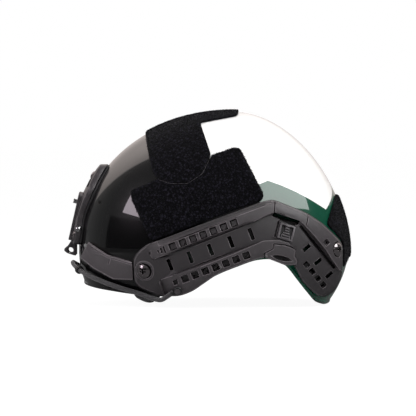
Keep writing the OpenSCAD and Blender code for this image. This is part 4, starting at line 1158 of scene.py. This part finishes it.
def recessDepth(piece, end):  # how deep the driver's recess lies under a screw's domed head, in mm
    r, drop = rail["head"], rail["frontDrop"] if end == "front" else 0
    origin, _, _, n = sideFrame(rail[end + "Screw"], rail["face"] - drop)
    spots = spotsOf(piece) - origin
    height = spots @ n / mm
    out = np.linalg.norm(spots - np.outer(spots @ n, n), axis=1) / mm
    rise = 0.36 * r
    ball = (r * r + rise ** 2) / (2 * rise)
    under = rise - ball + np.sqrt(np.maximum(ball ** 2 - out ** 2, 0)) - height
    return np.where((out < 0.5 * r) & (under > 0.08), np.clip(under, 0, 2), 0)


def dressed(node, body, slot, material, width):
    piece = linked(node + "Dressed", nodes[node].data.copy())
    piece.data.materials.clear()
    piece.data.materials.append(finishes[material])

    def work(mesh):
        bmesh.ops.remove_doubles(mesh, verts=mesh.verts, dist=1e-6)
        bmesh.ops.dissolve_limit(mesh, angle_limit=math.radians(0.6), verts=mesh.verts, edges=mesh.edges,
                                 delimit={"NORMAL"})
    edit(piece, work)
    if node.startswith("screw_"):
        # the recess depth drives the painted shade in darkSteel
        keep(piece, "sunk", recessDepth(piece, node.split("_")[1]))
    if node == "shroud_gasket":  # only a thin dark edge shows round the frame
        share, middle = hardwareFit["gasket"], hardwareFit["middle"]
        for vertex in piece.data.vertices:
            vertex.co.x *= share
            vertex.co.z = middle + (vertex.co.z - middle) * share
    if material == "latchPlastic":
        # painted shade: the latch darkens the deeper it lies below the rail face
        origin, _, _, n = sideFrame(rail["latchAt"], rail["face"] - rail["latchDrop"])
        keep(piece, "sunk", np.clip(0.3 - (spotsOf(piece) - origin) @ n / mm, 0, 2.2) * 5)
    bevelled(piece, width, hardwareFit["angle"])
    return settle(piece, body, slot, node)


hardwareFit = {"gasket": 0.958, "middle": 0.093, "angle": 32}
pair, plain = ("_left", "_right"), ("",)
hardware = {  # sides, body (none: the piece's own), slot, finish and how wide the edges are eased
    "latch": (pair, None, "latch_plastic", "latchPlastic", 0.00018),
    "shroud_gasket": (plain, "helmet", "gasket_rubber", "gasketRubber", 0.0003),
    "shroud_frame": (plain, "helmet", "shroud_metal", "shroudMetal", 0.0005),
    "shroud_plate": (plain, "helmet", "shroud_metal", "shroudMetal", 0.0004),
    "shroud_lock": (plain, "lock", "dark_steel", "brightSteel", 0.0002),
    "bungee_hook": (pair, "helmet", "hook_plastic", "hookPlastic", 0.0002),
    "cradle": (plain, "cradle", "liner_plastic", "linerPlastic", 0.0004),
    "guide": (pair, "helmet", "liner_plastic", "linerPlastic", 0.0003),
    "dial_housing": (plain, "cradle", "liner_plastic", "linerPlastic", 0.0003),
    "dial_knob": (plain, "dial", "liner_plastic", "linerPlastic", 0.0005),
    "side_bolt": (pair, "helmet", "bright_steel", "brightSteel", 0.00012),
}
for part in ("screw_front", "screw_rear", "nut_front", "nut_rear"):
    hardware[part] = (pair, "helmet", "dark_steel", "darkSteel", 0.00022)
for part in ("shroud_screw", "shroud_nut"):
    hardware[part] = (("_top", *pair), "helmet", "dark_steel", "darkSteel", 0.00016)
for part, (sides, body, *look) in hardware.items():
    for side in sides:
        dressed(part + side, body or part + side, *look)
bead = dressed("cord_bead", "helmet", "hook_plastic", "hookPlastic", 0.0004)
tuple(cordPoints[0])
print("hardware dressed")


# Liner pads: crowned cushions with a welt round the middle
def cradlePoint(u, v, t):  # on the inner face of the cradle's band
    phi = np.radians(90 + 34 * u)
    middle = 34 + (56 - 34) * np.cos(phi) ** 2 / 0.75
    turn = -12 - 14 * (np.sin(phi) ** 2 - 0.25) / 0.75
    return atHeight(phi, (middle + 8 * v) * mm, t + dome["wall"] + 0.0009 + (turn - 4.5) * mm)


padForm = {"inset": 0.0049, "rows": 40, "rounding": 5.0, "welt": 0.0009, "weltSides": 8, "weltAt": 0.15,
           "depth": (0.34, 0.66), "crown": (0.62, 0.38), "back": 0.985, "front": 0.965, "corners": 0.25}
pads = {  # where a pad's own u and v from -1 to 1 lie, and its thickness in mm
    "pad_front": (lambda u, v, t: atHeight(np.radians(-90 + 24 * u), (78 + 24 * v) * mm, t), 15),
    "pad_side_left": (lambda u, v, t: atHeight(np.radians(-9 + 24 * u), (90 + 20 * v) * mm, t), 15),
    "pad_rear": (lambda u, v, t: atHeight(np.radians(90 + 32 * u), (92 + 22 * v) * mm, t), 15),
    "pad_crown": (lambda u, v, t: archPoint(np.radians(34 * u), (22 + 42 * v) * mm, t), 15),
    "temple_pad_left": (lambda u, v, t: atHeight(np.radians(-51 + 6 * u * (1 - 0.2 * v * v)),
                                                 (31.5 + 27 * v) * mm, t), 12),
    "cradle_pad": (cradlePoint, 6),
}


def makePad(name, form, place, thick):
    n = form["rows"]
    g = np.linspace(-1, 1, n + 1)
    g = np.sign(g) * np.abs(g) ** 0.85  # closer rows near the rim
    u, v = np.meshgrid(g, g, indexing="ij")
    corners = form["corners"]
    us, vs = u * np.sqrt(1 - corners * v * v), v * np.sqrt(1 - corners * u * u)
    crown = form["crown"][0] + form["crown"][1] * ((1 - u ** 4) * (1 - v ** 4))
    rim = np.maximum(np.abs(u), np.abs(v))
    back = place(us * form["back"], vs * form["back"], np.full(u.shape, -form["inset"]))
    rounded = (1 - rim ** form["rounding"]) ** 0.5
    depth = thick * mm * (form["depth"][0] + form["depth"][1] * np.clip(rounded, 0, 1) * crown)
    front = place(us * form["front"], vs * form["front"], -form["inset"] - depth)
    points = np.concatenate([back.reshape(-1, 3), front.reshape(-1, 3)])
    m, faces = n + 1, []
    for a in (i * m + j for i in range(n) for j in range(n)):
        faces.append((a, a + m, a + m + 1, a + 1))
        faces.append(tuple(m * m + c for c in (a, a + 1, a + m + 1, a + m)))
    rimIds = [*range(0, n * m, m), *range(n * m, m * m - 1), *range(m * m - 1, n, -m), *range(n, 0, -1)]
    for a, c in zip(rimIds, rimIds[1:] + rimIds[:1]):
        faces.append((a, c, c + m * m, a + m * m))
    rimU, rimV = (q.ravel()[rimIds] * form["back"] for q in (us, vs))
    middle = np.full(len(rimIds), -form["inset"] - form["weltAt"] * thick * mm)
    line, above = place(rimU, rimV, middle), place(rimU, rimV, middle + 0.001)
    up = unit(above - line)
    out = unit(np.cross(np.roll(line, -1, 0) - np.roll(line, 1, 0), up))
    welt = around(line, out, up, form["welt"], form["weltSides"])  # it joins the two covers
    faces += ringFaces(len(rimIds), form["weltSides"], len(points), True)
    piece = meshObject(name, np.concatenate([points, welt.reshape(-1, 3)]), faces, "padFabric")
    facesOut(piece)
    smooth(piece)
    softer = piece.modifiers.new("soft", "SUBSURF")
    softer.levels = softer.render_levels = 1
    return plainMesh(piece)


for node, pad in pads.items():
    left = makePad(node.replace("_", "") + "Cushion", padForm, *pad)
    group = [(left, node)]
    if node.endswith("_left"):
        group.append((mirrored(left), node.replace("_left", "_right")))
    for piece, name in group:
        settle(piece, "cradle" if name == "cradle_pad" else "helmet", "foam", name)
print("pads filled")


# Floor, lamps and surroundings
studio = {"floor": (0.82, 0.82, 0.82), "floorSize": 14, "whiteMix": 0.86, "white": 1.1, "mirrorFloor": 0.06,
          "mirrorShare": 0.9, "fill": 0.45, "mirrorNear": 2.4, "mirrorFar": 0.7, "mirrorDark": 0.17,
          "mirrorTurn": 0.92, "mirrorSoft": (0.03, 0.1), "mirrorRise": (0.74, 0.5), "pit": (0.06, 0.32),
          "pitDepth": 0.93, "sideDim": 0.65, "warm": (1.0, 0.9, 0.86), "lampsAim": (0, 0.01, 0.1)}
softboxes = {
    "rearRight": {"towards": (0.503, 0.539, 0.624), "distance": 1.3, "size": (1.32, 0.71), "radiance": 5.5},
    "frontLeft": {"towards": (0.464, -0.74, 0.425), "distance": 1.385, "size": (0.5, 0.36), "radiance": 5.5,
                  "roll": -7, "colour": (1.0, 0.88, 0.97)},
    "front": {"towards": (0.1, -1.0, 0.1), "distance": 1.2, "size": (0.9, 0.7), "radiance": 7.0, "soft": True},
    "above": {"towards": (0.05, 0.05, 1.0), "distance": 1.6, "size": (1.2, 1.2), "radiance": 1.2},
}


def rays(b):  # whether a ray comes from the camera, and whether off a gloss
    camera = b.add("ShaderNodeLightPath", out="Is Camera Ray")
    return camera, Wire(b, b.find(camera.socket.node.outputs, "Is Glossy Ray"))


def makeFloor(p):
    s = p["floorSize"]
    floor = meshObject("floor", [(-s, -s, 0), (s, -s, 0), (s, s, 0), (-s, s, 0)], [(0, 1, 2, 3)])
    material, b = newMaterial("paleFloor")
    grain = b.noise(b.place(), 40, 4)
    tone = b.mix(grain, tuple(0.97 * c for c in p["floor"]), p["floor"])
    lit = b.add("ShaderNodeBsdfDiffuse", sockets={"Color": tone})
    behind = b.axes(b.place())[0].ramp(-0.6, -3)  # the sweep behind the helmet shows white in gloss too
    white, dim = (b.add("ShaderNodeEmission", sockets={"Color": (1, 1, 1, 1), "Strength": strength})
                  for strength in (p["white"], behind + p["mirrorFloor"]))
    camera, glossy = rays(b)
    seen = b.add("ShaderNodeMixShader", sockets={0: camera * p["whiteMix"], 1: lit, 2: white})
    finishMaterial(material, b, b.add("ShaderNodeMixShader", sockets={0: glossy * p["mirrorShare"], 1: seen, 2: dim}))
    floor.data.materials.append(material)


def lamp(name, p):
    data = bpy.data.lights.new(name, "AREA")
    data.shape, (data.size, data.size_y) = "RECTANGLE", p["size"]
    data.energy = p["radiance"] * math.pi * p["size"][0] * p["size"][1]
    towards = Vector(p["towards"]).normalized()
    light = linked(name, data)
    light.location = Vector(studio["lampsAim"]) + towards * p["distance"]
    light.rotation_euler = ((-towards).to_track_quat("-Z", "Y")
                            @ Quaternion((0, 0, 1), math.radians(p.get("roll", 0)))).to_euler()
    light.visible_camera = False
    light.visible_glossy = not p.get("soft", False)
    data.color = p.get("colour", (1, 1, 1))


def makeSurroundings(p):
    world = bpy.data.worlds.new("surroundings")
    world.use_nodes = True
    world.node_tree.nodes.clear()
    b = Bench(world.node_tree)
    x, y, z = b.axes(b.place("Generated"))
    camera, glossy = rays(b)
    away = x * -1
    beyond = away + z - p["mirrorTurn"]
    side = (beyond / (p["mirrorSoft"][0] + (y > 0) * p["mirrorSoft"][1])).ramp(-1, 1)
    bright = p["mirrorNear"] + away.ramp(0.1, 0.9) * (p["mirrorFar"] - p["mirrorNear"])
    bright = bright * (p["mirrorRise"][0] + beyond.ramp(0, 0.4) * p["mirrorRise"][1])
    pit = (x - p["pit"][0]).ramp(-0.02, 0.02) * (p["pit"][1] - z).ramp(0, 0.03) * (y < 0)
    dark = p["mirrorDark"] * (1 - pit * p["pitDepth"]) * (1 - y.ramp(-0.1, 0.3) * p["sideDim"])
    mirror = dark + side * (bright - dark)
    seen = p["fill"] + glossy * (mirror - p["fill"])
    strength = seen + camera * (1 - seen)
    tint = b.mix(side * glossy, (1, 1, 1), p["warm"])
    back = b.add("ShaderNodeBackground", sockets={"Color": tint, "Strength": strength})
    b.add("ShaderNodeOutputWorld", sockets={"Surface": back})
    bpy.context.scene.world = world


makeFloor(studio)
for name, p in softboxes.items():
    lamp(name, p)
makeSurroundings(studio)
bpy.context.scene.view_settings.view_transform = "Standard"
print("studio lit")
